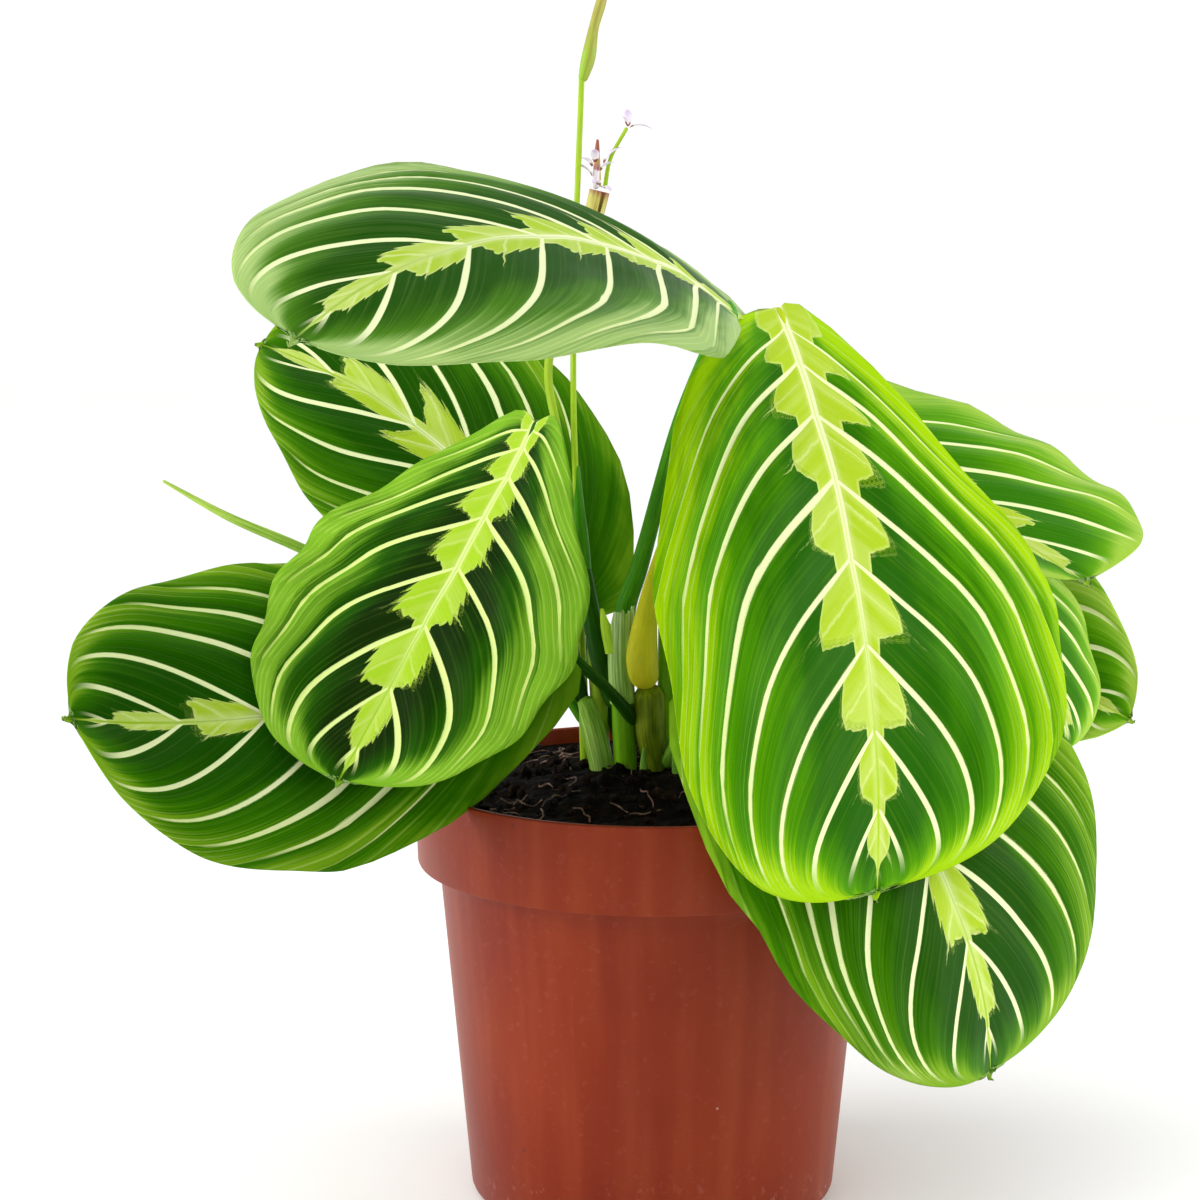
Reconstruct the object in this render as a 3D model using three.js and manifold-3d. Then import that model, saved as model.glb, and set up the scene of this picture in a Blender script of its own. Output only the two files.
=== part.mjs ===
// Potted prayer plant in a round nursery pot.
// Millimetres, +Z up. The origin is the centre of the pot's flat underside and the plant's front faces -Y.

import * as THREE from 'three';
import { mergeVertices } from 'three/addons/utils/BufferGeometryUtils.js';
import Module from 'manifold-3d';

const wasm = await Module();
wasm.setup();

// Room left between pieces that touch, and a little more where both are round
const seatGap = 0.3;
const roundGap = 0.4;
// Facets thinner than this are merged after a cut
const sliver = 0.08;

// Nursery pot, 12 cm across its rim
const pot = {
  rimRadius: 60,
  bandFootRadius: 59.4,
  bodyTopRadius: 54,
  baseRadius: 46,
  height: 108,
  bandHeight: 22,
  wall: 1.5,
  floor: 2,
  footRounding: 2.5,
  lipRounding: 0.6,
  sides: 48,
  drainHoles: 8,
  drainRadius: 4,
  drainCircle: 30,
};

// Potting soil, heaped towards the stems
const soil = {
  wallLevel: 104,
  heapLevel: 109.5,
  crumb: 1.3,
  sides: 36,
  topRings: 7,
};

// Every blade: its thickness, its lateral veins on each side and how the surface swells between them
const blade = {
  thickness: 0.7,
  midribDepth: 1.1,
  veins: 10,
  swell: 0.8,
  columns: [0, 0.22, 0.48, 0.76, 1],
  tipStart: 0.982,
  tipPoint: 0.13,
};
const rowsPerVein = 2;
const bladeRows = blade.veins * rowsPerVein;
// Lateral veins leave the midrib and run forward in long arcs. These shape the arc.
const veinArc = { easy: 0.4, steep: 0.45, start: 0.06, spacing: 1.8 };

// The leaves. base is where the blade meets its stalk. Angles are in degrees: heading is the compass
// direction of the midrib from +X, rise its slope at the base, droop and swing how far it bends down and
// turns by the tip, roll and twist how the blade leans round it. fold and arch bend the left and right half
// down from the midrib. widest is where the blade is widest, full how full its outline is at the base's left
// and right and at the tip, lobe how far the left and right base lobes reach back, as shares of the length.
// wave is a height, a count and a phase.
const leaves = {
  top_left: {
    base: [18, -45, 227], heading: 227, rise: 32.5, droop: 63, swing: 1.5,
    roll: 25, twist: -8, length: 148, width: 96, fold: [-7, 12.5],
    arch: [-2, 34], widest: 0.37, full: [1.2, 1.2, 2.3], lobe: [0, 0.12], wave: [1, 2.5, 287],
  },
  back_left: {
    base: [-21, 23, 142.5], heading: 151, rise: 61, droop: 45, swing: 21,
    roll: 39, twist: -7, length: 114, width: 82, fold: [12.5, 13],
    arch: [27, 14], widest: 0.49, full: [1.85, 1.8, 2.05], lobe: [0.06, 0.06], wave: [0.7, 4, 32],
  },
  front_left: {
    base: [-29, -18.5, 198.5], heading: -146.5, rise: -57, droop: -12, swing: 21,
    roll: -1.5, twist: 12, length: 103, width: 84, fold: [5, 9],
    arch: [30, -14], widest: 0.44, full: [1.35, 1.35, 2.25], lobe: [0.06, 0.06], wave: [1.2, 5, 13],
  },
  low_left: {
    base: [-23, -12, 142], heading: 194.5, rise: -17, droop: -30, swing: 30,
    roll: 47, twist: -0.5, length: 133, width: 82, fold: [11, 11],
    arch: [44, 11], widest: 0.5, full: [1.6, 1.9, 2.25], lobe: [0.05, 0.06], wave: [0.8, 4, 246],
  },
  front_right: {
    base: [29, -28.5, 227], heading: -73.5, rise: -34, droop: 61.5, swing: 9,
    roll: 15, twist: 1.5, length: 151, width: 110.5, fold: [1.5, 2],
    arch: [-13, 12], widest: 0.58, full: [1.2, 1.5, 2.85], lobe: [0.06, 0], wave: [1.2, 3.4, 251],
  },
  back_right: {
    base: [31.5, 35.5, 195], heading: -38.5, rise: -16, droop: 3, swing: -16,
    roll: -16.5, twist: 12, length: 109, width: 83, fold: [14.5, 17],
    arch: [27, 18], widest: 0.5, full: [2.4, 1.95, 2.4], lobe: [0.06, 0.06], wave: [0.9, 4.4, -6],
  },
  outer_right: {
    base: [44, 40, 142], heading: -20.5, rise: -6, droop: 19, swing: -1,
    roll: -45, twist: 7, length: 87.5, width: 69, fold: [15, 14.5],
    arch: [-8.5, 8], widest: 0.52, full: [1.9, 1.9, 1.7], lobe: [0.06, 0.06], wave: [1.5, 2.9, 81],
  },
  inner_right: {
    base: [59, 2, 171], heading: -18, rise: -15, droop: 71, swing: 2,
    roll: -24, twist: 4, length: 77, width: 55, fold: [5.5, 8],
    arch: [20, 20], widest: 0.5, full: [1.9, 1.9, 2.05], lobe: [0.06, 0.06], wave: [0.9, 3.8, 344],
  },
  low_right: {
    base: [21.5, -45.5, 150.5], heading: -34, rise: -29, droop: 59, swing: 32,
    roll: -36, twist: 10.5, length: 124, width: 97, fold: [7, 3.5],
    arch: [-9, 44], widest: 0.55, full: [2, 2.5, 2.65], lobe: [0.06, 0.06], wave: [1, 3.3, 105],
  },
};

// Stems and stalks: points along each, with the radius there as the fourth number. Each leaf stalk ends at
// its blade's base, so only the points before that are listed.
const routes = {
  left_stem: [[-13, 1, 83, 2.8], [-13, 1, 107, 2.8], [-15, 2, 117, 2.9], [-18, 4, 127, 2.2]],
  front_left_stalk: [[-18, 4, 124, 2.2], [-21.5, 5.5, 145, 1.7], [-25, 4, 172, 1.5], [-28, -4, 189, 1.5]],
  rolled_stalk: [[-17, 3, 120, 1.5], [-25, 3, 131, 1.4], [-45, 2, 143, 1.3], [-74, 1, 158, 1.2]],

  middle_stem: [
    [-7, 0, 83, 2.8], [-7, 0, 107, 2.9], [-7.5, -0.5, 122, 2.8], [-8.3, -0.5, 137, 2.6], [-8.3, 0, 148, 2.2],
  ],
  top_left_stalk: [
    [-6.5, 2, 125, 2.6], [-6.5, 3.5, 148, 3.1], [-2, 5, 165, 2.1], [6, -6, 197, 1.7],
    [13.5, -22, 219, 1.5], [16.5, -36, 228.5, 1.2],
  ],
  low_left_stalk: [[-4.5, -1, 121, 1.8], [-10.5, -7, 129.5, 1.5], [-16.5, -10.5, 136, 1.4]],
  back_left_stalk: [[-8, 2, 116, 2], [-12, 9, 126, 1.8], [-17, 17, 136, 1.6]],
  dark_stalk: [[-8.5, 2, 128, 2], [-13.6, 4, 143, 1.8], [-17.8, 7, 160, 1.6]],

  right_stem: [[2.5, -1, 83, 3.4], [1.5, -1, 104, 3.2], [0, -1, 119, 4], [-1, -1, 131, 4]],
  front_right_stalk: [
    [-1.5, -2, 129.5, 3.4], [-2.9, -4, 137.5, 4], [-1.3, -4.5, 152, 2.5], [3, -7, 168, 1.8],
    [10.5, -13, 191, 1.5], [20.5, -22, 213, 1.6],
  ],
  low_right_stalk: [[3, -2, 110, 2], [10, -12, 125, 1.6], [18, -30, 143, 1.4]],
  back_right_stalk: [[2, 1, 114, 1.9], [10, 9, 140, 1.6], [20, 18, 170, 1.4]],
  outer_right_stalk: [[4, 0, 108, 1.9], [15, 12, 125, 1.6], [31, 28, 140, 1.4]],
  inner_right_stalk: [[3, 0, 112, 1.9], [15, 2, 135, 1.6], [38, 3, 160, 1.4]],

  tall_stalk: [
    [-18, 7.3, 160.9, 1.5], [-19, 10, 172, 1], [-20, 17, 193, 0.8], [-20, 25, 225, 0.8],
    [-18, 31.5, 279, 0.8],
  ],
  short_stalk: [
    [-16.5, 9.5, 83, 1.3], [-17.5, 9.5, 120, 1.3], [-19, 10.5, 150, 1.2], [-23.5, 15, 189, 1.1],
    [-26.5, 22, 208, 1.1], [-21, 29, 230, 1.2],
  ],
  tall_spathe: [
    [-18, 31.5, 279.4, 1.1], [-16.5, 31.8, 285, 1.8], [-15, 32, 293, 1.3], [-13, 32.3, 300, 1.3],
    [-12, 32.5, 305, 0.4],
  ],
  short_spathe: [
    [-20.9, 29.1, 230.4, 1.3], [-17.8, 31, 238, 1.9], [-15, 32, 246, 2.5], [-13.5, 32.3, 252, 2.6],
  ],
  rolled_leaf: [[-74.5, 1, 158.2, 1.3], [-89, 0, 165.5, 1.3], [-106, 0, 173, 1], [-122, 0, 182, 0.35]],
  flower_foot: [[-14.6, 31.2, 253.1, 0.8], [-14.4, 31.2, 256.4, 0.8]],
  pedicel: [[-12.2, 32.4, 252.6, 0.6], [-10.8, 32.6, 260, 0.5], [-6.5, 33, 268, 0.5]],
  bud: [[-13.6, 34, 252.9, 0.6], [-14.2, 34, 259, 0.9], [-14, 34, 265, 0.35]],
  left_scale: [[-2.2, -5.4, 101, 0.8], [-2.6, -5.6, 110, 0.9], [-2.4, -5.3, 115.5, 0.35]],
  right_scale: [[7, -6.9, 98, 1.3], [6.2, -7.3, 106, 1.5], [4.9, -7.4, 114, 0.4]],
};

// Petals of an open flower: length, width, how far they lean out and their compass directions
const flower = { petalLength: 4.4, petalWidth: 2.6, petalThickness: 0.9, lean: 62, petals: 5, sides: 6 };
const lowerFlower = [-14.4, 31.2, 257];
const upperFlower = [-6, 33, 268.5];

const turn = (degrees) => THREE.MathUtils.degToRad(degrees);
const clamp = THREE.MathUtils.clamp;

// Seeded random numbers, the same on every run
function randomFrom(seed) {
  let state = seed;
  return () => {
    state = (state * 1664525 + 1013904223) % 4294967296;
    return state / 4294967296;
  };
}

// Solids for cutting and joining
function solidOf(geometry, weld = 1e-4) {
  const bare = geometry.clone();
  bare.deleteAttribute('normal');
  bare.deleteAttribute('uv');
  const merged = mergeVertices(bare, weld);
  const mesh = new wasm.Mesh({
    numProp: 3,
    vertProperties: new Float32Array(merged.attributes.position.array),
    triVerts: new Uint32Array(merged.index.array),
  });
  return new wasm.Manifold(mesh);
}

function geometryOf(solid) {
  const mesh = solid.getMesh();
  const geometry = new THREE.BufferGeometry();
  geometry.setAttribute('position', new THREE.BufferAttribute(new Float32Array(mesh.vertProperties), 3));
  geometry.setIndex(new THREE.BufferAttribute(new Uint32Array(mesh.triVerts), 1));
  geometry.computeVertexNormals();
  return geometry;
}

function joined(solids) {
  return solids.reduce((whole, piece) => whole.add(piece));
}

// The largest body of a solid, without the scraps that a cut leaves
function largest(solid) {
  const bodies = solid.decompose();
  return bodies.reduce((best, body) => (body.volume() > best.volume() ? body : best));
}

// One closed body, without the scraps and the enclosed pockets that cuts and joints leave. Close points are
// welded again until nothing more comes apart.
function settled(solid, passes = 6) {
  let body = solid;
  for (let pass = 0; pass < passes; pass += 1) {
    body = largest(solidOf(geometryOf(body.simplify(sliver)), 1e-3));
  }
  return body;
}

// A tapered round stem along a smooth curve through its points
function stem(points, { sides = 8, stepsPerSpan = 3, grow = 0 } = {}) {
  const curve = new THREE.CatmullRomCurve3(points.map(([x, y, z]) => new THREE.Vector3(x, y, z)));
  const spans = points.length - 1;
  const steps = spans * stepsPerSpan;
  const positions = [];
  const index = [];
  const side = new THREE.Vector3(1, 0, 0);
  for (let step = 0; step <= steps; step += 1) {
    const along = step / steps;
    const tangent = curve.getTangent(along);
    const centre = curve.getPoint(along);
    if (step === 0) centre.addScaledVector(tangent, -grow);
    side.addScaledVector(tangent, -side.dot(tangent)).normalize();
    const other = tangent.clone().cross(side);
    const span = Math.min(Math.floor(along * spans), spans - 1);
    const radius = THREE.MathUtils.lerp(points[span][3], points[span + 1][3], along * spans - span) + grow;
    for (let corner = 0; corner < sides; corner += 1) {
      const angle = (2 * Math.PI * corner) / sides;
      const point = centre.clone();
      point.addScaledVector(side, radius * Math.cos(angle));
      point.addScaledVector(other, radius * Math.sin(angle));
      positions.push(point.x, point.y, point.z);
    }
  }
  for (let step = 0; step < steps; step += 1) {
    for (let corner = 0; corner < sides; corner += 1) {
      const here = step * sides + corner;
      const next = step * sides + ((corner + 1) % sides);
      index.push(here, next, next + sides, here, next + sides, here + sides);
    }
  }
  const last = steps * sides;
  for (let corner = 1; corner < sides - 1; corner += 1) {
    index.push(0, corner + 1, corner);
    index.push(last, last + corner, last + corner + 1);
  }
  const geometry = new THREE.BufferGeometry();
  geometry.setAttribute('position', new THREE.BufferAttribute(new Float32Array(positions), 3));
  geometry.setIndex(index);
  geometry.computeVertexNormals();
  return geometry;
}

// Direction along the midrib, across the blade to its right, and up from its face, at a share of its length
function midribFrame(leaf, share) {
  const slope = turn(leaf.rise - leaf.droop * share);
  const heading = turn(leaf.heading + leaf.swing * share);
  const lean = turn(leaf.roll + leaf.twist * share);
  const level = Math.cos(slope);
  const along = new THREE.Vector3(level * Math.cos(heading), level * Math.sin(heading), Math.sin(slope));
  const aside = new THREE.Vector3(Math.sin(heading), -Math.cos(heading), 0);
  const above = aside.clone().cross(along);
  const across = aside.clone().multiplyScalar(Math.cos(lean)).addScaledVector(above, Math.sin(lean));
  const up = above.clone().multiplyScalar(Math.cos(lean)).addScaledVector(aside, -Math.sin(lean));
  return { along, across, up };
}

// Points along the midrib, by adding up short steps
function midrib(leaf, steps = 60) {
  const points = [new THREE.Vector3(...leaf.base)];
  for (let step = 0; step < steps; step += 1) {
    const { along } = midribFrame(leaf, (step + 0.5) / steps);
    points.push(points[step].clone().addScaledVector(along, leaf.length / steps));
  }
  return (share) => {
    const place = clamp(share, 0, 1) * steps;
    const step = Math.min(Math.floor(place), steps - 1);
    return points[step].clone().lerp(points[step + 1], place - step);
  };
}

// Half width of the outline, as a share of its greatest: two superellipse quarters and a short pointed tip
function outline(leaf, share, right) {
  const place = clamp(share / blade.tipStart, 0, 1);
  const reach = place < leaf.widest ? leaf.widest : 1 - leaf.widest;
  const fullness = place < leaf.widest ? leaf.full[right] : leaf.full[2];
  const body = (1 - (Math.abs(place - leaf.widest) / reach) ** fullness) ** (1 / fullness);
  const point = share > 0.5 ? blade.tipPoint * clamp((1 - share) / 0.06, 0, 1) ** 1.2 : 0;
  return Math.hypot(body, point);
}

// How far the lobes beside the stalk reach back, as a share of the length
function lobeReach(leaf, share, outward, right) {
  const near = share / 0.05;
  return leaf.lobe[right] * outward ** 1.5 * near * Math.exp(1 - near);
}

// A point of the blade. row runs 0 to 1 along the midrib and column -1 to 1 from the left edge to the right.
function bladePoint(leaf, spine, row, column) {
  const outward = Math.abs(column);
  const right = column > 0 ? 1 : 0;
  const root = row ** veinArc.spacing;
  const sweep = veinArc.easy * outward + veinArc.steep * outward ** 4;
  const share = root + ((1 - root) * sweep * root) / (root + veinArc.start);
  const { along, across, up } = midribFrame(leaf, share);
  const half = leaf.width / 2;
  const distance = outward * outline(leaf, share, right) * half;
  const fold = turn(leaf.fold[right]);
  const bend = turn(leaf.arch[right]) / half;
  const sideways = (Math.sin(fold) - Math.sin(fold - bend * distance)) / bend;
  const rise = (Math.cos(fold - bend * distance) - Math.cos(fold)) / bend;
  const [height, count, phase] = leaf.wave;
  const wave = height * outward ** 2.5 * Math.sin(2 * Math.PI * count * share + turn(phase) + right * 2);
  const between = 0.5 - 0.5 * Math.cos(2 * Math.PI * blade.veins * row);
  const middle = Math.sin(Math.PI * outward ** 0.8) * Math.min(1, 8 * row * (1 - row));
  const swell = blade.swell * between * middle;
  const point = spine(share);
  point.addScaledVector(along, -lobeReach(leaf, share, outward, right) * leaf.length);
  point.addScaledVector(across, Math.sign(column) * sideways);
  point.addScaledVector(up, rise + (wave + swell) * Math.min(1, 6 * share * (1 - share)));
  return point;
}

// A closed blade: its face, the face's underside with the midrib's keel, and the edge between them
function leafBlade(leaf) {
  const spine = midrib(leaf);
  const columns = [...blade.columns.slice(1).reverse().map((c) => -c), ...blade.columns];
  const wide = columns.length;
  const middle = (wide - 1) / 2;
  const points = [spine(0)];
  for (let row = 1; row < bladeRows; row += 1) {
    columns.forEach((column) => points.push(bladePoint(leaf, spine, row / bladeRows, column)));
  }
  points.push(spine(1));
  const count = points.length;
  const at = (row, column) => {
    if (row === 0) return 0;
    if (row === bladeRows) return count - 1;
    return 1 + (row - 1) * wide + column;
  };
  const sheet = [];
  for (let row = 0; row < bladeRows; row += 1) {
    for (let column = 0; column < wide - 1; column += 1) {
      const corners = [at(row, column), at(row, column + 1), at(row + 1, column + 1), at(row + 1, column)];
      if (row > 0) sheet.push([corners[0], corners[1], corners[2]]);
      if (row < bladeRows - 1) sheet.push([corners[0], corners[2], corners[3]]);
    }
  }
  const face = new THREE.BufferGeometry().setFromPoints(points);
  face.setIndex(sheet.flat());
  face.computeVertexNormals();
  const normals = face.attributes.normal;
  const positions = new Float32Array(count * 6);
  points.forEach((point, number) => {
    const normal = new THREE.Vector3().fromBufferAttribute(normals, number);
    const row = number === 0 ? 0 : Math.min(bladeRows, 1 + Math.floor((number - 1) / wide));
    const column = number === 0 || row === bladeRows ? middle : (number - 1) % wide;
    const keel = column === middle ? blade.midribDepth * (1 - 0.8 * (row / bladeRows)) : 0;
    const top = point.clone().addScaledVector(normal, blade.thickness / 2);
    const under = point.clone().addScaledVector(normal, -blade.thickness / 2 - keel);
    top.toArray(positions, number * 3);
    under.toArray(positions, (count + number) * 3);
  });
  const index = [];
  sheet.forEach(([a, b, c]) => index.push(a, b, c, count + a, count + c, count + b));
  for (let row = 0; row < bladeRows; row += 1) {
    const left = [at(row, 0), at(row + 1, 0)];
    const right = [at(row, wide - 1), at(row + 1, wide - 1)];
    index.push(left[0], left[1], count + left[1], left[0], count + left[1], count + left[0]);
    index.push(right[1], right[0], count + right[0], right[1], count + right[0], count + right[1]);
  }
  const geometry = new THREE.BufferGeometry();
  geometry.setAttribute('position', new THREE.BufferAttribute(positions, 3));
  geometry.setIndex(index);
  geometry.computeVertexNormals();
  return geometry;
}

// A solid cut to stand clear of another one, by the gap, on every side
function clearOf(solid, neighbour, gap = seatGap) {
  let rest = solid.subtract(neighbour);
  for (const axis of [0, 1, 2]) {
    for (const way of [-gap, gap]) {
      const shift = [0, 0, 0];
      shift[axis] = way;
      rest = rest.subtract(neighbour.translate(shift));
    }
  }
  return largest(rest).simplify(sliver);
}

// Stems that grew together, joined in one solid. Each leaf stalk is led on to its blade's base and trimmed
// to stand just clear of the blade.
function shoot(stems, stalks) {
  const parts = stems.map((name) => solidOf(stem(routes[name])));
  Object.entries(stalks).forEach(([name, leafName]) => {
    const leaf = leaves[leafName];
    const { along, up } = midribFrame(leaf, 0);
    const end = new THREE.Vector3(...leaf.base).addScaledVector(along, -0.5).addScaledVector(up, -0.6);
    parts.push(solidOf(stem([...routes[name], [end.x, end.y, end.z, 1.4]])));
  });
  const trimmed = Object.values(stalks).reduce(
    (whole, leafName) => clearOf(whole, bladeSolids[leafName]),
    settled(joined(parts)),
  );
  return settled(trimmed);
}

function potSolid() {
  const { rimRadius, bandFootRadius, bodyTopRadius, baseRadius, height, bandHeight, wall, floor } = pot;
  const bandFoot = height - bandHeight;
  const slope = (bodyTopRadius - baseRadius) / bandFoot;
  const innerAt = (z) => baseRadius + slope * z - wall;
  const profile = [
    [0, 0],
    [baseRadius - pot.footRounding, 0],
    [baseRadius - 0.3 * pot.footRounding, 0.3 * pot.footRounding],
    [baseRadius + slope * pot.footRounding, pot.footRounding],
    [bodyTopRadius, bandFoot],
    [bandFootRadius - 0.8, bandFoot],
    [bandFootRadius, bandFoot + 0.8],
    [rimRadius, height - pot.lipRounding],
    [rimRadius - pot.lipRounding, height],
    [rimRadius - wall, height],
    [bandFootRadius - wall, bandFoot + wall],
    [innerAt(bandFoot) + 0.4, bandFoot - 1],
    [innerAt(floor), floor],
    [0, floor],
  ].map(([r, z]) => new THREE.Vector2(r, z));
  const turned = new THREE.LatheGeometry(profile, pot.sides).rotateX(Math.PI / 2);
  let body = solidOf(turned);
  for (let hole = 0; hole < pot.drainHoles; hole += 1) {
    const angle = (2 * Math.PI * hole) / pot.drainHoles;
    const drill = new THREE.CylinderGeometry(pot.drainRadius, pot.drainRadius, 4 * floor, 12);
    drill.rotateX(Math.PI / 2);
    drill.translate(pot.drainCircle * Math.cos(angle), pot.drainCircle * Math.sin(angle), 0);
    body = body.subtract(solidOf(drill));
  }
  return body;
}

// Soil fills the pot from its floor to just under the rim, with a crumbly heaped top
function soilSolid() {
  const { rimRadius, bandFootRadius, bodyTopRadius, baseRadius, height, bandHeight, wall, floor } = pot;
  const bandFoot = height - bandHeight;
  const slope = (bodyTopRadius - baseRadius) / bandFoot;
  const bandSlope = (rimRadius - bandFootRadius) / bandHeight;
  const clear = wall + roundGap;
  const topRadius = bandFootRadius + bandSlope * (soil.wallLevel - bandFoot) - clear;
  const profile = [
    [0, floor + seatGap],
    [baseRadius + slope * floor - clear, floor + seatGap],
    [baseRadius + slope * (bandFoot - 1) - clear, bandFoot - 1],
    [bandFootRadius - clear, bandFoot + wall + seatGap],
  ];
  for (let ring = 0; ring < soil.topRings; ring += 1) {
    const inward = ring / soil.topRings;
    const heap = (soil.heapLevel - soil.wallLevel) * Math.sin((Math.PI / 2) * inward) ** 1.5;
    profile.push([topRadius * (1 - inward), soil.wallLevel + heap]);
  }
  profile.push([0, soil.heapLevel]);
  const heap = new THREE.LatheGeometry(profile.map(([r, z]) => new THREE.Vector2(r, z)), soil.sides);
  heap.rotateX(Math.PI / 2);
  const random = randomFrom(7);
  const place = heap.attributes.position;
  const rows = profile.length;
  const firstTop = 5;
  for (let side = 0; side < soil.sides; side += 1) {
    for (let row = firstTop; row < rows - 1; row += 1) {
      const lift = soil.crumb * (2 * random() - 1);
      place.setZ(side * rows + row, place.getZ(side * rows + row) + lift);
    }
  }
  for (let row = 0; row < rows; row += 1) place.setZ(soil.sides * rows + row, place.getZ(row));
  return solidOf(heap);
}

// An open flower: petals leaning out of one point, fused with a little cup
function flowerSolid(centre, turned) {
  const cup = new THREE.SphereGeometry(1.3, flower.sides, 4).scale(1, 1, 1.4);
  const parts = [solidOf(cup)];
  for (let petal = 0; petal < flower.petals; petal += 1) {
    const shape = new THREE.SphereGeometry(1, flower.sides, 4);
    shape.scale(flower.petalWidth / 2, flower.petalThickness / 2, flower.petalLength / 2);
    shape.translate(0, 0, flower.petalLength * 0.45);
    shape.rotateX(turn(petal % 2 ? flower.lean : flower.lean - 24));
    shape.rotateZ(turn(turned + (360 * petal) / flower.petals));
    parts.push(solidOf(shape));
  }
  return joined(parts).translate(centre);
}

const bladeSolids = {};
Object.keys(leaves).forEach((name) => {
  bladeSolids[name] = solidOf(leafBlade(leaves[name]));
});
const shootLeft = shoot(['left_stem', 'rolled_stalk'], { front_left_stalk: 'front_left' });
const shootMiddle = shoot(['middle_stem', 'dark_stalk'], {
  top_left_stalk: 'top_left',
  low_left_stalk: 'low_left',
  back_left_stalk: 'back_left',
});
const shootRight = clearOf(
  shoot(['right_stem'], {
    front_right_stalk: 'front_right',
    low_right_stalk: 'low_right',
    back_right_stalk: 'back_right',
    outer_right_stalk: 'outer_right',
    inner_right_stalk: 'inner_right',
  }),
  shootMiddle,
);
const shortStalk = solidOf(stem(routes.short_stalk));
const scaleLeft = solidOf(stem(routes.left_scale, { sides: 6 }));
const scaleRight = solidOf(stem(routes.right_scale, { sides: 6 }));

// Holes in the soil, one round each stem that goes down into it
let bed = soilSolid();
['left_stem', 'middle_stem', 'right_stem', 'short_stalk', 'left_scale', 'right_scale'].forEach((name) => {
  bed = bed.subtract(solidOf(stem(routes[name], { grow: roundGap })));
});
[shootLeft, shootMiddle, shootRight].forEach((neighbour) => {
  bed = clearOf(bed, neighbour);
});

const pedicel = solidOf(stem(routes.pedicel, { sides: 6 }));
const bud = solidOf(stem(routes.bud, { sides: 6 }));
const upperBloom = flowerSolid(upperFlower, 65).add(pedicel);
const lowerBloom = [pedicel, bud].reduce(
  (bloom, neighbour) => clearOf(bloom, neighbour),
  flowerSolid(lowerFlower, 20).add(solidOf(stem(routes.flower_foot, { sides: 6 }))),
);

// Colours and finishes
const paint = (color, roughness) => new THREE.MeshStandardMaterial({ color, roughness, metalness: 0 });
const finishes = {
  terracotta: paint(0x9a4028, 0.55),
  peat: paint(0x1c120e, 0.95),
  leaf: paint(0x2f7414, 0.42),
  limeLeaf: paint(0x5f9a16, 0.42),
  stem: paint(0x4c7a26, 0.5),
  stalk: paint(0x8aa82c, 0.5),
  bract: paint(0xa8a83c, 0.55),
  petal: paint(0xf2ecf4, 0.6),
};

const plant = new THREE.Group();
function place(name, solid, finish) {
  const mesh = new THREE.Mesh(geometryOf(settled(solid)), finishes[finish]);
  mesh.name = name;
  plant.add(mesh);
}

place('pot', potSolid(), 'terracotta');
place('soil', bed, 'peat');
Object.keys(leaves).forEach((name) => {
  place(`blade_${name}`, bladeSolids[name], name === 'front_right' ? 'limeLeaf' : 'leaf');
});
place('shoot_left', shootLeft, 'stem');
place('shoot_middle', shootMiddle, 'stem');
place('shoot_right', shootRight, 'stem');
place('scale_left', scaleLeft, 'stem');
place('scale_right', scaleRight, 'stem');
place('rolled_leaf', solidOf(stem(routes.rolled_leaf)), 'stalk');
place('flower_stalk_tall', solidOf(stem(routes.tall_stalk)), 'stalk');
place('spathe_tall', solidOf(stem(routes.tall_spathe)), 'bract');
place('flower_stalk_short', shortStalk, 'stalk');
place('spathe_short', solidOf(stem(routes.short_spathe)), 'bract');
place('flower_lower', lowerBloom, 'petal');
place('flower_upper', upperBloom, 'petal');
place('flower_bud', bud, 'petal');

export default plant;
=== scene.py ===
import math
import random

import bpy
import numpy as np
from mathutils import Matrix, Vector, noise


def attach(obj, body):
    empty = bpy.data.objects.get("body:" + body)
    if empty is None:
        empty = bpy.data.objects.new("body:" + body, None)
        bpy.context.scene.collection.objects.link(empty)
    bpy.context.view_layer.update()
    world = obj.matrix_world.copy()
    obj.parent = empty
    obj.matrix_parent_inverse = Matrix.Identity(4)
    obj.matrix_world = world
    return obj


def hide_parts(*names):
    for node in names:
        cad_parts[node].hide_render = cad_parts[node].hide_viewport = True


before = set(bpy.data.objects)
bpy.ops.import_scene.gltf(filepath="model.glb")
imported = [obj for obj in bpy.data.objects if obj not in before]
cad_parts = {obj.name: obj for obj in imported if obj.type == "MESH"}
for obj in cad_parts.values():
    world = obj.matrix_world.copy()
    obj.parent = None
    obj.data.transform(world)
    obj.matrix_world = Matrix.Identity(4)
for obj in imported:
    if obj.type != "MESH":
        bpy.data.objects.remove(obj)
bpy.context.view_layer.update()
bpy.ops.object.select_all(action="DESELECT")

# Potted prayer plant. Places and sizes are in millimetres and turned to metres as each mesh is made.
mm = 0.001


def hexColor(code):
    # colour from its usual six digits, in the linear values that shaders take
    parts = [int(code[i:i + 2], 16) / 255 for i in (0, 2, 4)]
    linear = [p / 12.92 if p <= 0.04045 else ((p + 0.055) / 1.055) ** 2.4 for p in parts]
    return (*linear, 1.0)


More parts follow.
